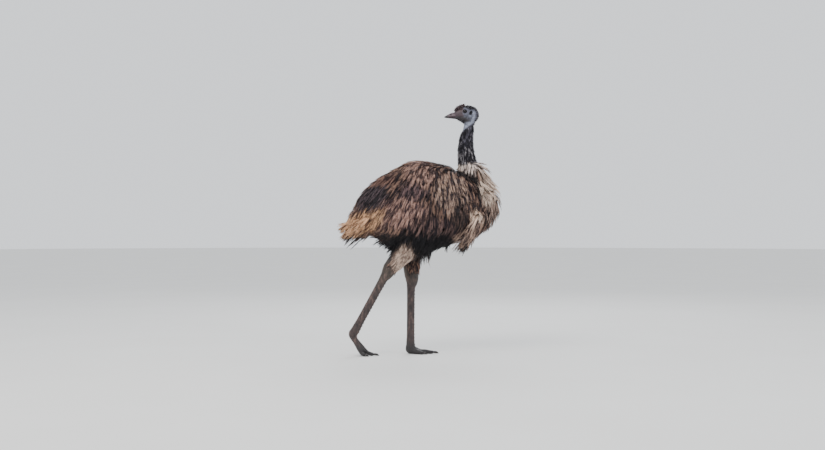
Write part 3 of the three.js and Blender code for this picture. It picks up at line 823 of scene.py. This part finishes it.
# Every form of flesh, closed and overlapping, fused into one skin.
def fuseFlesh():
    bm = bmesh.new()
    grow = skinSpec["grow"]
    addLimb(bm, torsoSpec["rows"], steps=36, around=48, pear=torsoSpec["pear"], grow=-torsoSpec["sink"])
    addLimb(bm, tailSpec["rows"], steps=10, grow=-tailSpec["sink"])
    addLimb(bm, neckSpec["rows"], steps=24, around=32)
    addLimb(bm, headSpec["rows"], across=backwards, steps=30, around=32, grow=grow["head"])
    for side, sign in sides.items():
        addLimb(bm, thighRows(side), steps=20)
        addLimb(bm, shankRows(side), steps=24, grow=grow["shank"])
        x, y, z = legSpec[side]["toeJoint"]
        addBall(bm, (x - 3, y, z - 4), legSpec["heel"])
        for toe in toeSpec["lengths"]:
            rows, _, across = toeRows(side, toe)
            addLimb(bm, rows, across=across, steps=20, around=20)
        wing = [(x, sign * y, *rest) for x, y, *rest in wingSpec["rows"]]
        addLimb(bm, wing, steps=8, around=16, grow=grow["wing"])
    rough = addObject("flesh", finishMesh(bm, "flesh"))
    fuse = rough.modifiers.new("fuse", "REMESH")
    fuse.mode = "VOXEL"
    fuse.voxel_size = skinSpec["voxel"]
    fused = bpy.data.meshes.new_from_object(rough.evaluated_get(bpy.context.evaluated_depsgraph_get()))
    bpy.data.objects.remove(rough)
    return fused


def smooth(bm, verts, times):
    axes = {"use_axis_x": True, "use_axis_y": True, "use_axis_z": True}
    for _ in range(times):
        bmesh.ops.smooth_vert(bm, verts=verts, factor=0.5, **axes)


# How far along a leg's shank a spot is, and how far from the shank's middle line.
def alongShank(side, spot):
    leg = legSpec[side]
    top = Vector(leg["ankle"])
    run = Vector(leg["toeJoint"]) - top
    share = (spot - top).dot(run) / run.length_squared
    return share, (spot - top - run * share).length


# Where a spot lies in a tilted oval, seen from the side, in half sizes.
def inOval(spot, at, half, tilt=0):
    ahead = spot.x - at[0]
    above = spot.z - at[1]
    across = (ahead * math.cos(tilt) - above * math.sin(tilt)) / half[0]
    along = (ahead * math.sin(tilt) + above * math.cos(tilt)) / half[1]
    return across, along


# Lids over the eyes, the cups of the ears, and folds.
def sculptHead(spot, normal):
    eyeY = eyeSpec["at"][1]
    sign = 1 if spot.y > 0 else -1
    far = math.hypot(*inOval(spot, eyeSide, eyeSpec["opening"]))
    if abs(spot.y) > 12 and far < 2.2:
        reach = eyeSpec["radius"] + eyeSpec["lid"]
        flat = math.hypot(spot.x - eyeSide[0], spot.z - eyeSide[1])
        ball = eyeY + math.sqrt(max(reach**2 - flat**2, 0))
        share = 1 - easeStep(far, 1.15, 2.1)
        lid = abs(spot.y) + (max(ball, abs(spot.y)) - abs(spot.y)) * share
        inside = 1 - easeStep(far, 0.92, 1.08)
        spot.y = sign * (lid + (eyeY - eyeSpec["sunk"] - lid) * inside)
    ear = headSpec["ear"]
    far = math.hypot(*inOval(spot, ear["at"], ear["half"], ear["tilt"]))
    if abs(spot.y) > 15 and far < 2:
        dip = ear["deep"] * (1 - easeStep(far, 0.3, 1.0))
        rim = ear["rim"] * math.exp(-(((far - 1.2) / 0.3) ** 2))
        spot.y += sign * (rim - dip)
    spot += normal * sum(noise.noise(spot * fine) * deep for fine, deep in skinSpec["folds"])


plateSpec = {"first": 0.16, "end": 0.96, "count": 17, "rise": 3.6, "reach": 60}


# Overlapping plates down the front of the shanks. It returns how near a spot is to the edge of one.
def sculptShank(spot, normal):
    edge = 0
    span = plateSpec["end"] - plateSpec["first"]
    for side in sides:
        share, away = alongShank(side, spot)
        if plateSpec["first"] < share < plateSpec["end"] and away < plateSpec["reach"]:
            onPlate = (share - plateSpec["first"]) / span * plateSpec["count"] % 1
            facing = easeStep(normal.x, 0.1, 0.7)
            spot += normal * (plateSpec["rise"] * onPlate**2 * facing)
            edge = facing * (1 - easeStep(abs(onPlate - 0.06), 0.05, 0.2))
    return edge


def sculpt(bm):
    plateEdge = bm.verts.layers.float.new("plateEdge")
    for vert in bm.verts:
        spot = (vert.co - shift) * 1000
        if spot.z > skinSpec["head"][0]:
            sculptHead(spot, vert.normal)
        elif spot.z < skinSpec["leg"][0]:
            vert[plateEdge] = sculptShank(spot, vert.normal)
        spot.z = max(spot.z, skinSpec["floorGap"])
        vert.co = spot / 1000 + shift


# Smaller faces wherever both ends of an edge are chosen.
def refine(bm, chosen, cuts=1):
    edges = [edge for edge in bm.edges if chosen(edge.verts[0].co) and chosen(edge.verts[1].co)]
    bmesh.ops.subdivide_edges(bm, edges=edges, cuts=cuts, use_grid_fill=True)


def makeSkin(material):
    bm = bmesh.new()
    bm.from_mesh(fuseFlesh())
    smooth(bm, bm.verts, skinSpec["smoothing"])
    guide = bpy.data.meshes.new("skin_guide")
    bm.to_mesh(guide)
    tree = BVHTree.FromBMesh(bm)
    headFrom, smoothFrom = (height / 1000 for height in skinSpec["head"])
    legTo, smoothTo = (height / 1000 for height in skinSpec["leg"])
    eyeX, _, eyeZ = place(*eyeSpec["at"])
    reach = 2.3 * eyeSpec["radius"] / 1000
    refine(bm, lambda co: co.z > headFrom, 2)
    refine(bm, lambda co: abs(co.y) > 0.008 and math.hypot(co.x - eyeX, co.z - eyeZ) < reach)
    refine(bm, lambda co: co.z < legTo)
    fine = [vert for vert in bm.verts if vert.co.z > smoothFrom or vert.co.z < smoothTo]
    smooth(bm, fine, skinSpec["fineSmoothing"])
    bm.normal_update()
    sculpt(bm)
    nodes = ["torso", "tail", "neck_lower", "neck_upper", "head"]
    nodes += [f"{part}_{side}" for part in ("wing", "thigh", "shank", "foot") for side in sides]
    skin = addPiece("skin", finishMesh(bm, "skin"), material, nodes)
    skin.data.calc_loop_triangles()
    print("skin:", len(skin.data.loop_triangles), "triangles")
    return guide, tree


def sculptNostrils(bm):
    nostril = billSpec["nostril"]
    groove = nostril["groove"]
    for vert in bm.verts:
        spot = (vert.co - shift) * 1000
        across, along = inOval(spot, *nostril["oval"])
        dip = nostril["deep"] * (1 - easeStep(math.hypot(across, along), 0.3, 1.0))
        beside = math.hypot(across / groove[0], along / groove[1])
        dip += nostril["grooveDeep"] * (1 - easeStep(beside, 0.4, 1.0))
        spot.y -= math.copysign(min(dip, abs(spot.y)), spot.y)
        vert.co = spot / 1000 + shift


def makeBill(material):
    rows = np.array(billSpec["rows"], float)
    gap = billSpec["mouthGap"] / 2
    steps = billSpec["steps"]
    ridgeHigh, ridgeHalf = billSpec["ridge"]
    for name, node in (("billUpper", "bill_upper"), ("billLower", "bill_lower")):
        upper = name == "billUpper"

        def ringAt(k):
            share = (1 if upper else billSpec["lowerEnd"]) * k / steps
            x, _, z, up, down, wide = readRow(rows, share)
            wide -= 0 if upper else billSpec["lowerTrim"]

            def spotAt(sideways, outwards):
                if upper:
                    height = max(up * outwards, gap)
                    ridge = ridgeHigh * math.exp(-((sideways / ridgeHalf) ** 2))
                    height += ridge * max(outwards, 0) * (1 - share)
                else:
                    height = min(down * outwards, -gap)
                return place(x, sideways * wide, z + height)

            return spotAt

        bm = bmesh.new()
        addRings(bm, steps + 1, 40, ringAt)
        if upper:
            sculptNostrils(bm)
        addPiece(name, finishMesh(bm, name), material, [node])


def makeEyes(material):
    x, y, z = eyeSpec["at"]
    for side, sign in (("left", -1), ("right", 1)):
        bm = bmesh.new()
        bmesh.ops.create_uvsphere(bm, u_segments=48, v_segments=28, radius=eyeSpec["radius"] / 1000)
        bmesh.ops.rotate(bm, verts=bm.verts, matrix=Matrix.Rotation(math.pi / 2, 3, "X"))
        bmesh.ops.translate(bm, verts=bm.verts, vec=place(x, sign * y, z))
        addPiece(f"eyeball_{side}", finishMesh(bm, f"eyeball_{side}"), material, [f"eye_{side}"])


def makeClaws(material):
    for side in sides:
        for toe, reach in toeSpec["clawLengths"].items():
            rows, ahead, across = toeRows(side, toe)
            end = rows[-1]
            lines = rowsAhead("claw", end, ahead, reach, end[2])
            bm = bmesh.new()
            addLimb(bm, lines, across=across, steps=16, around=16)
            for vert in bm.verts:
                vert.co.z = max(vert.co.z, shift.z + skinSpec["floorGap"] / 1000)
            name = f"claw_{side}_{toe}"
            addPiece(f"{name}_horn", finishMesh(bm, f"{name}_horn"), material, [name])


# How each stretch of the coat grows, in millimetres, in the order of its columns: how far apart the
# tufts stand, their length, how far the tips lift off the skin, the strands in a tuft, its half width,
# the width of a strand, its frizz, and how closely it keeps to the skin, from 0 to 1.
coatSpec = {
    "seed": 11,
    "steps": 6,
    "strandTone": 0.17,  # how much the strands of one tuft differ in tone
    "columns": ["spacing", "length", "lift", "strands", "half", "width", "frizz", "hold"],
    "regions": {
        "body": (8.7, 90, 27, 8, 4.8, 2.2, 2.6, 0.85),
        "belly": (9.5, 60, 18, 7, 5, 2.6, 4.5, 0.12),
        "tail": (9.2, 100, 24, 9, 5.5, 2.6, 3.4, 0.3),
        "ruff": (8, 90, 36, 8, 5, 2.3, 3.4, 0.7),
        "neck": (4.6, 32, 10, 5, 2.6, 1.3, 1.4, 0.8),
        "head": (3.4, 13, 5.5, 5, 1.5, 0.75, 0.8, 0.8),
        "brow": (3, 19, 15, 5, 2.4, 0.8, 1.6, 0),
        "face": (4.6, 6.5, 1.6, 2, 1.2, 0.42, 0.6, 0.9),
        "thigh": (7, 34, 8, 6, 3.6, 2.1, 1.8, 0.9),
        "wing": (7.6, 104, 15, 9, 5, 2.5, 3.6, 0.1),
    },
    "tries": 2.6,  # how many roots are tried for each that finds room
    "rootDepth": 2.5,
    "placeAt": 4,  # the step of a tuft's line where it reads the markings
    "bodySplit": (130, -60),
    # how far the body's feathers lean back as they fall, by x
    "lean": [(-340, 0.8), (-200, 0.7), (0, 0.25), (150, 0.02), (300, -0.2), (380, 0.1), (440, 0.4)],
    "partingSpread": 0.6,
    # longer tufts under the belly: x, half width, by how much
    "wisps": [(62, 34, 1.3), (-150, 50, 1.1), (230, 60, 0.9)],
    "overhang": 12,  # how far the tips of the tail may reach past the solid tail
    # each other piece's region, slot and finish, and whether it is unwrapped round an upright line
    "pieces": {
        "coatBelly": ("belly", "coat", "plumage", False),
        "coatTail": ("tail", "tail_coat", "plumage", False),
        "coatRuff": ("ruff", "ruff", "plumage", True),
        "coatNeck": ("neck", "neck_hair", "hair", True),
        "coatHead": ("head", "neck_hair", "hair", True),
        "coatBrow": ("brow", "neck_hair", "brow", True),
        "coatFace": ("face", "neck_hair", "hair", True),
        "coatThighs": ("thigh", "thigh_coat", "plumage", True),
        "coatWings": ("wing", "coat", "plumage", False),
    },
}
regionNumber = {name: k for k, name in enumerate(coatSpec["regions"])}
regionNumber["bare"] = -1


# One column of the coat's table, for the region of each tuft.
def coatValue(column, region):
    k = coatSpec["columns"].index(column)
    return np.array([row[k] for row in coatSpec["regions"].values()])[region]


def unit(vectors):
    return vectors / np.maximum(np.linalg.norm(vectors, axis=-1, keepdims=True), 1e-9)


def ease(values, low, high):
    share = np.clip((values - low) / (high - low), 0, 1)
    return share * share * (3 - 2 * share)


# How far points are from a straight line, and at what share of its length.
def nearLine(points, start, end):
    start = np.array(start, float)
    run = np.array(end, float) - start
    share = ((points - start) @ run) / (run @ run)
    return np.linalg.norm(points - start - run * share[:, None], axis=1), share


# Which stretch of the coat a point is in.
def regionOf(points):
    x, y, z = points.T
    region = np.full(len(points), regionNumber["body"])

    def mark(where, name):
        region[where] = regionNumber[name]

    mark(z < 640, "belly")
    mark((x < -225) & (z < 775 + 0.3 * (x + 225)), "tail")
    rows = wingSpec["rows"]
    for sign in sides.values():
        far, _ = nearLine(points * (1, sign, 1), rows[0][:3], rows[-1][:3])
        mark((far < 36) & (z < 775), "wing")
    rows = np.array(neckSpec["rows"])
    offNeck = np.hypot(x - np.interp(z, rows[:, 2], rows[:, 0]), y)
    onNeck = (z > 940) & (offNeck < np.interp(z, rows[:, 2], rows[:, 3]) * 1.25)
    mark(onNeck, "ruff")
    mark(onNeck & (z > 1052), "neck")
    throat = 1240 + (x - 274) * 0.75 + 4 * np.sin(y * 0.5 + x * 0.8)
    mark(onNeck & (z > throat), "bare")
    onHead = z > skinSpec["head"][0]
    nape = x > np.interp(z, [1262, 1290, 1330], [309, 325, 331])
    crown = (z + (x - 270) * 0.3 > 1351) | ((z < 1330) & nape)
    chin = (x < 268) & (z < 1292)
    mark(onHead, "head")
    mark(onHead & ~crown & ~chin, "face")
    ear = headSpec["ear"]["at"]
    openEye = np.hypot((x - eyeSide[0]) / 15, (z - eyeSide[1]) / 13.5) < 1
    openEar = np.hypot((x - ear[0]) / 9, (z - ear[1]) / 13) < 1
    mark((region == regionNumber["face"]) & (openEye | openEar | (x < 236)), "bare")
    ragged = 2.5 * np.sin(x * 0.9 + y * 0.7) + 1.5 * np.sin(x * 0.4 - y * 1.3)
    overBrow = z > 1335 + ragged + np.clip(x - 252, 0, 22)
    mark((x + ragged < 274) & (x + ragged > 216) & overBrow, "brow")
    ragged = 0.03 * np.sin(x * 0.37 + y * 0.51) + 0.02 * np.sin(x * 0.91 - y * 0.23)
    for side in sides:
        knee = legSpec[side]["knee"]
        ankle = legSpec[side]["ankle"]
        far, share = nearLine(points, knee, ankle)
        onLeg = (far < 80) & (share > 0.28) & (z < 600)
        mark(onLeg, "thigh")
        behind = ease(knee[0] + (ankle[0] - knee[0]) * share - x, 8, 30)
        mark(onLeg & (share > 0.86 - 0.2 * behind + ragged), "bare")
    mark(z < 432, "bare")
    return region


# Which way the feathers fall at each point.
def fallAt(points, normals, region):
    x, y, _ = points.T
    lean = np.interp(x, *zip(*coatSpec["lean"]))
    apart = np.tanh(y / 25) * coatSpec["partingSpread"] * np.clip(normals[:, 2] + 0.1, 0, 1)
    way = unit(np.stack([-lean, apart, -np.ones_like(x)], axis=1))
    over = ease(normals[:, 2], 0.7, 0.98)[:, None]
    overWay = unit(np.stack([-np.full(len(x), 0.85), 0.5 * np.tanh(y / 25), np.zeros(len(x))], axis=1))
    way = unit(way * (1 - over) + overWay * over)
    under = ease(-normals[:, 2], 0.25, 0.85)[:, None]
    way = unit(way * (1 - under) + np.array([-0.75, 0.0, -0.66]) * under)
    tail = region == regionNumber["tail"]
    low = ease(-normals[:, 2], -0.1, 0.7)
    tailWay = np.stack([-0.9 + 0.25 * low, 0.25 * np.tanh(y / 60), -0.42 - 0.3 * low], axis=1)
    way[tail] = unit(tailWay)[tail]
    straight = {
        "wing": (-0.5, 0.0, -1.0),
        "neck": (0.0, 0.0, -1.0),
        "ruff": (0.0, 0.0, -1.0),
        "head": (0.75, 0.0, -0.35),
        "face": (0.75, 0.0, -0.35),
        "brow": (-0.3, 0.0, 1.0),
    }
    for name, fall in straight.items():
        way[region == regionNumber[name]] = unit(np.array(fall))
    for side in sides:
        knee = np.array(legSpec[side]["knee"], float)
        ankle = np.array(legSpec[side]["ankle"], float)
        far, _ = nearLine(points, knee, ankle)
        way[(region == regionNumber["thigh"]) & (far < 80)] = unit(ankle - knee)
    return way


# Roots spread evenly over the skin, each region at its own spacing.
def scatterRoots(guide, rng):
    guide.calc_loop_triangles()
    corners = np.empty(len(guide.loop_triangles) * 3, np.int32)
    guide.loop_triangles.foreach_get("vertices", corners)
    spots = np.empty(len(guide.vertices) * 3)
    guide.vertices.foreach_get("co", spots)
    spots = (spots.reshape(-1, 3) - np.array(shift)) * 1000
    corners = spots[corners.reshape(-1, 3)]
    cross = np.cross(corners[:, 1] - corners[:, 0], corners[:, 2] - corners[:, 0])
    area = np.linalg.norm(cross, axis=1) / 2
    region = regionOf(corners.mean(axis=1))
    weight = np.where(region >= 0, area / coatValue("spacing", region) ** 2, 0)
    count = int(weight.sum() * coatSpec["tries"])
    pick = rng.choice(len(weight), count, p=weight / weight.sum())
    one = np.sqrt(rng.random(count))[:, None]
    other = rng.random(count)[:, None]
    picked = corners[pick]
    points = picked[:, 0] * (1 - one) + picked[:, 1] * one * (1 - other) + picked[:, 2] * one * other
    region = regionOf(points)
    points = points[region >= 0]
    region = region[region >= 0]
    tree = kdtree.KDTree(len(points))
    for k, point in enumerate(points):
        tree.insert(point, k)
    tree.balance()
    kept = np.ones(len(points), bool)
    spacing = coatValue("spacing", region)
    for k, point in enumerate(points):
        if kept[k]:
            for _, other, _ in tree.find_range(point, spacing[k]):
                kept[other] = False
            kept[k] = True
    return points[kept], region[kept]


# The line that each tuft follows: out of the skin, then down along it or hanging free.
def growGuides(tree, points, region, lengths, lifts, hanging, rng):
    steps = coatSpec["steps"]
    depth = coatSpec["rootDepth"]
    count = len(points)
    heads = np.empty((count, steps + 1, 3))
    outs = np.empty((count, steps + 1, 3))
    spots = points.copy()
    jitter = rng.normal(0, 0.11, (count, 3))
    jitter[region == regionNumber["brow"]] *= 3
    jitter[hanging] += (0.7, 0, -1)
    hold = coatValue("hold", region)
    for k in range(steps + 1):
        nearest = [tree.find_nearest(place(*spot)) for spot in spots]
        base = (np.array([hit[0] for hit in nearest]) - np.array(shift)) * 1000
        normal = np.array([hit[1] for hit in nearest])
        share = k / steps
        wanted = -depth + (lifts + depth) * share**0.62
        height = ((spots - base) * normal).sum(axis=1)
        spots = spots + normal * np.maximum(wanted - height, 0)[:, None]
        if k == 0:
            spots = points - normal * depth
        heads[:, k] = spots
        outs[:, k] = normal if k == 0 else unit(outs[:, k - 1] * 0.5 + normal * 0.5)
        way = unit(fallAt(spots, normal, region) + jitter)
        into = (way * normal).sum(axis=1)
        held = np.where(into < 0, into, into * hold)
        way = unit(way - held[:, None] * normal)
        spots = spots + way * (lengths / steps)[:, None]
    return heads, outs


# A closed three-sided tapering strand: rings and a point, with a cap at its root.
strandSpec = {
    "rings": [0.0, 0.34, 0.66, 0.88],
    "taper": [0.75, 1.0, 0.8, 0.5],
    "thick": 0.17,
    "depth": 1.6,  # how far the strands of a tuft lie over and under its line
    "widths": (0.75, 1.2),
    "reaches": (0.78, 1.0),
    "patch": 0.003,  # how large its root's place on the map is
}
tipVert = len(strandSpec["rings"]) * 3
strandVerts = tipVert + 1
strandFaces = []
for low in range(0, tipVert - 3, 3):
    strandFaces += [(low + k, low + (k + 1) % 3, low + 3 + (k + 1) % 3, low + 3 + k) for k in range(3)]
strandFaces += [(tipVert - 3 + k, tipVert - 3 + (k + 1) % 3, tipVert) for k in range(3)]
strandFaces.append((2, 1, 0))


def readLine(line, share):
    steps = line.shape[1] - 1
    at = np.clip(share * steps, 0, steps - 1e-6)
    k = np.floor(at).astype(int)
    rest = (at - k)[:, None]
    rows = np.arange(len(line))
    return line[rows, k] * (1 - rest) + line[rows, k + 1] * rest


def growStrands(heads, outs, region, tone, unwrap, rng):
    tuft = np.repeat(np.arange(len(heads)), coatValue("strands", region))
    count = len(tuft)
    half = coatValue("half", region)[tuft]
    width = coatValue("width", region)[tuft] * rng.uniform(*strandSpec["widths"], count)
    frizz = coatValue("frizz", region)[tuft]
    beside = rng.uniform(-1, 1, count)
    above = rng.uniform(-1, 1, count)
    reach = rng.uniform(*strandSpec["reaches"], count)
    phase = rng.uniform(0, 2 * math.pi, (count, 2))
    lines = heads[tuft]
    normals = outs[tuft]
    verts = np.empty((count, strandVerts, 3))
    shares = [*strandSpec["rings"], 1.0]
    for k, share in enumerate(shares):
        centre = readLine(lines, reach * share)
        before = readLine(lines, reach * share - 0.08)
        ahead = unit(readLine(lines, np.minimum(reach * share + 0.08, 1)) - before)
        out = readLine(normals, reach * share)
        flat = unit(np.cross(ahead, out))
        out = np.cross(flat, ahead)
        spread = 0.55 + 0.45 * math.sin(math.pi * min(share * 1.1, 1))
        sway = frizz * share * np.sin(phase[:, 0] + 5 * share)
        rise = frizz * share * 0.6 * np.sin(phase[:, 1] + 4 * share)
        centre = centre + flat * (beside * half * spread + sway)[:, None]
        centre = centre + out * (above * strandSpec["depth"] + rise)[:, None]
        if k * 3 == tipVert:
            verts[:, tipVert] = centre
            continue
        wide = width * strandSpec["taper"][k]
        thick = out * (wide * strandSpec["thick"])[:, None]
        wide = flat * (wide / 2)[:, None]
        verts[:, k * 3] = centre - wide - thick
        verts[:, k * 3 + 1] = centre + wide - thick
        verts[:, k * 3 + 2] = centre + thick * 2
    along = np.repeat(shares, [3] * len(strandSpec["rings"]) + [1])
    tone = np.clip(tone[tuft] + rng.normal(0, coatSpec["strandTone"], count), 0, 1)
    patch = strandSpec["patch"]
    return {
        "tone": np.repeat(tone, strandVerts),
        "tuft": tuft,
        "verts": verts,
        "along": np.broadcast_to(along, (count, strandVerts)),
        "u": unwrap[tuft, 0, None] + (beside[:, None] * 0.5 + 0.5) * patch * np.ones(strandVerts),
        "v": unwrap[tuft, 1, None] + along * patch,
    }


# The strands of one piece as a mesh. Each vertex knows its tone, how far along its strand it is and,
# as its place, the spot where its tuft shows.
def joinStrands(name, strands, shown):
    verts = strands["verts"]
    count = len(verts)
    mesh = bpy.data.meshes.new(name)
    mesh.vertices.add(count * strandVerts)
    mesh.vertices.foreach_set("co", (verts / 1000 + np.array(shift)).ravel())
    sizes = [len(face) for face in strandFaces]
    loop = np.concatenate(strandFaces)
    loops = (np.arange(count)[:, None] * strandVerts + loop).ravel()
    mesh.loops.add(len(loops))
    mesh.loops.foreach_set("vertex_index", loops)
    mesh.polygons.add(count * len(sizes))
    starts = np.arange(count)[:, None] * len(loop) + np.cumsum([0, *sizes[:-1]])
    mesh.polygons.foreach_set("loop_start", starts.ravel())
    uv = np.stack([strands["u"], strands["v"]], axis=2).reshape(-1, 2)
    mesh.uv_layers.new(name="OFBake").data.foreach_set("uv", uv[loops].ravel())
    mesh.update(calc_edges=True)
    mesh.shade_smooth()
    for key in ("along", "tone"):
        mesh.attributes.new(key, "FLOAT", "POINT").data.foreach_set("value", strands[key].ravel())
    spots = np.repeat(shown[strands["tuft"]] / 1000 + np.array(shift), strandVerts, axis=0)
    mesh.attributes.new("place", "FLOAT_VECTOR", "POINT").data.foreach_set("vector", spots.ravel())
    return mesh


def spreadOut(values):
    low = values.min()
    return 0.01 + 0.975 * (values - low) / max(values.max() - low, 1e-6)


# How long each tuft is, how far it lifts, and whether it hangs free of the belly.
def shapeTufts(tree, points, region, rng):
    count = len(points)
    x = points[:, 0]
    on = {name: region == number for name, number in regionNumber.items()}
    lengths = coatValue("length", region) * rng.uniform(0.75, 1.2, count)
    lifts = coatValue("lift", region) * rng.uniform(0.6, 1.15, count)
    up = np.array([tree.find_nearest(place(*point))[1].z for point in points])
    lifts[on["body"]] *= (1 - 0.35 * ease(up, 0.4, 0.95) + 0.8 * ease(x, 310, 400))[on["body"]]
    lifts[(on["neck"] | on["ruff"]) & (x > 295)] *= 1.35
    lengths[on["brow"]] *= (rng.uniform(0.6, 1.1, count) * (1 - 0.5 * ease(x, 252, 272)))[on["brow"]]
    lengths[(on["belly"] | on["tail"] | on["wing"]) & (rng.random(count) < 0.06)] *= 1.5
    lengths[on["belly"]] *= rng.uniform(0.7, 1.25, count)[on["belly"]]
    hanging = np.zeros(count, bool)
    for middle, half, longer in coatSpec["wisps"]:
        near = on["belly"] & (abs(x - middle) < half) & (rng.random(count) < 0.3)
        lengths[near] *= longer
        hanging |= near
    ruff = on["ruff"]
    lengths[ruff] *= 0.5 + 0.7 * ease(-points[ruff, 2], -1060, -985)
    lifts[ruff] *= 0.45 + 0.55 * ease(x[ruff], 250, 300)
    rearmost = (cadBox[0][0] - shift.x) * 1000 - coatSpec["overhang"]
    return np.minimum(lengths, np.maximum(x - rearmost, 20) * 1.02), lifts, hanging


# Each piece's name, tufts, slot and finish, and whether it is unwrapped round an upright line.
def coatPieces(points, region):
    x, y, _ = points.T
    front, rear = coatSpec["bodySplit"]
    stretches = {"Front": x > front, "Middle": (x <= front) & (x > rear), "Rear": x <= rear}
    onBody = region == regionNumber["body"]
    pieces = []
    for side, beside in (("Right", y < 0), ("Left", y >= 0)):
        for name, within in stretches.items():
            pieces.append((f"coat{side}{name}", onBody & beside & within, "coat", "plumage", False))
    for name, (stretch, *rest) in coatSpec["pieces"].items():
        pieces.append((name, region == regionNumber[stretch], *rest))
    return pieces


def makeCoat(guide, tree, finishes):
    rng = np.random.default_rng(coatSpec["seed"])
    points, region = scatterRoots(guide, rng)
    lengths, lifts, hanging = shapeTufts(tree, points, region, rng)
    heads, outs = growGuides(tree, points, region, lengths, lifts, hanging, rng)
    print("coat guides:", len(points))
    tone = rng.random(len(points))
    shown = heads[:, coatSpec["placeAt"]]
    x, y, z = points.T
    turn = np.arctan2(y, z - 800)
    neckTurn = np.arctan2(y, x - 290)
    total = 0
    for name, members, slot, finish, upright in coatPieces(points, region):
        own = np.flatnonzero(members)
        one = spreadOut(z[own] if upright else x[own])
        other = spreadOut((neckTurn if upright else turn)[own])
        unwrap = np.stack([one, other], axis=1)
        strands = growStrands(heads[own], outs[own], region[own], tone[own], unwrap, rng)
        addPiece(name, joinStrands(name, strands, shown[own]), finishes[finish])
        faces = len(strands["tuft"]) * sum(len(face) - 2 for face in strandFaces)
        total += faces
        print("  ", name, len(own), "tufts,", faces, "triangles")
    print("coat triangles:", total)


lightSpec = {
    # place in metres, size, power, colour
    "key": ((-2.0, -3.4, 4.6), 2.8, 170, (1.0, 0.97, 0.93)),
    "fill": ((3.6, -3.0, 2.4), 3.0, 50, (0.93, 0.96, 1.0)),
    "back": ((0.6, 3.6, 3.8), 2.8, 90, (0.95, 0.97, 1.0)),
    "sky": (0.93, 0.96, 1.0),
    "skyStrength": 1.25,
}


def makeLights():
    for name in ("key", "fill", "back"):
        spot, size, power, colour = lightSpec[name]
        data = bpy.data.lights.new(name, "AREA")
        data.shape = "DISK"
        data.size = size
        data.energy = power
        data.color = colour
        light = addObject(name, data)
        light.location = spot
        light.rotation_euler = (Vector((0, 0, 0.8)) - Vector(spot)).to_track_quat("-Z", "Y").to_euler()
    world = bpy.data.worlds.new("sky")
    world.use_nodes = True
    background = world.node_tree.nodes["Background"]
    background.inputs["Color"].default_value = (*lightSpec["sky"], 1)
    background.inputs["Strength"].default_value = lightSpec["skyStrength"]
    bpy.context.scene.world = world


def makeFloor(material):
    bm = bmesh.new()
    bmesh.ops.create_circle(bm, cap_ends=True, segments=96, radius=30)
    mesh = bpy.data.meshes.new("floor")
    bm.to_mesh(mesh)
    bm.free()
    mesh.materials.append(material)
    addObject("floor", mesh)


makeCamera()
makeFloor(makeFloorFinish())
makeLights()
print("camera, floor and lights made")
guide, tree = makeSkin(makeSkinFinish())
makeBill(makeBillFinish())
makeEyes(makeEyeFinish())
makeClaws(makeClawFinish())
print("bill, eyes and claws made")
makeCoat(guide, tree, {name: makeCoatFinish(name) for name in coatPaint})
bpy.data.meshes.remove(guide)
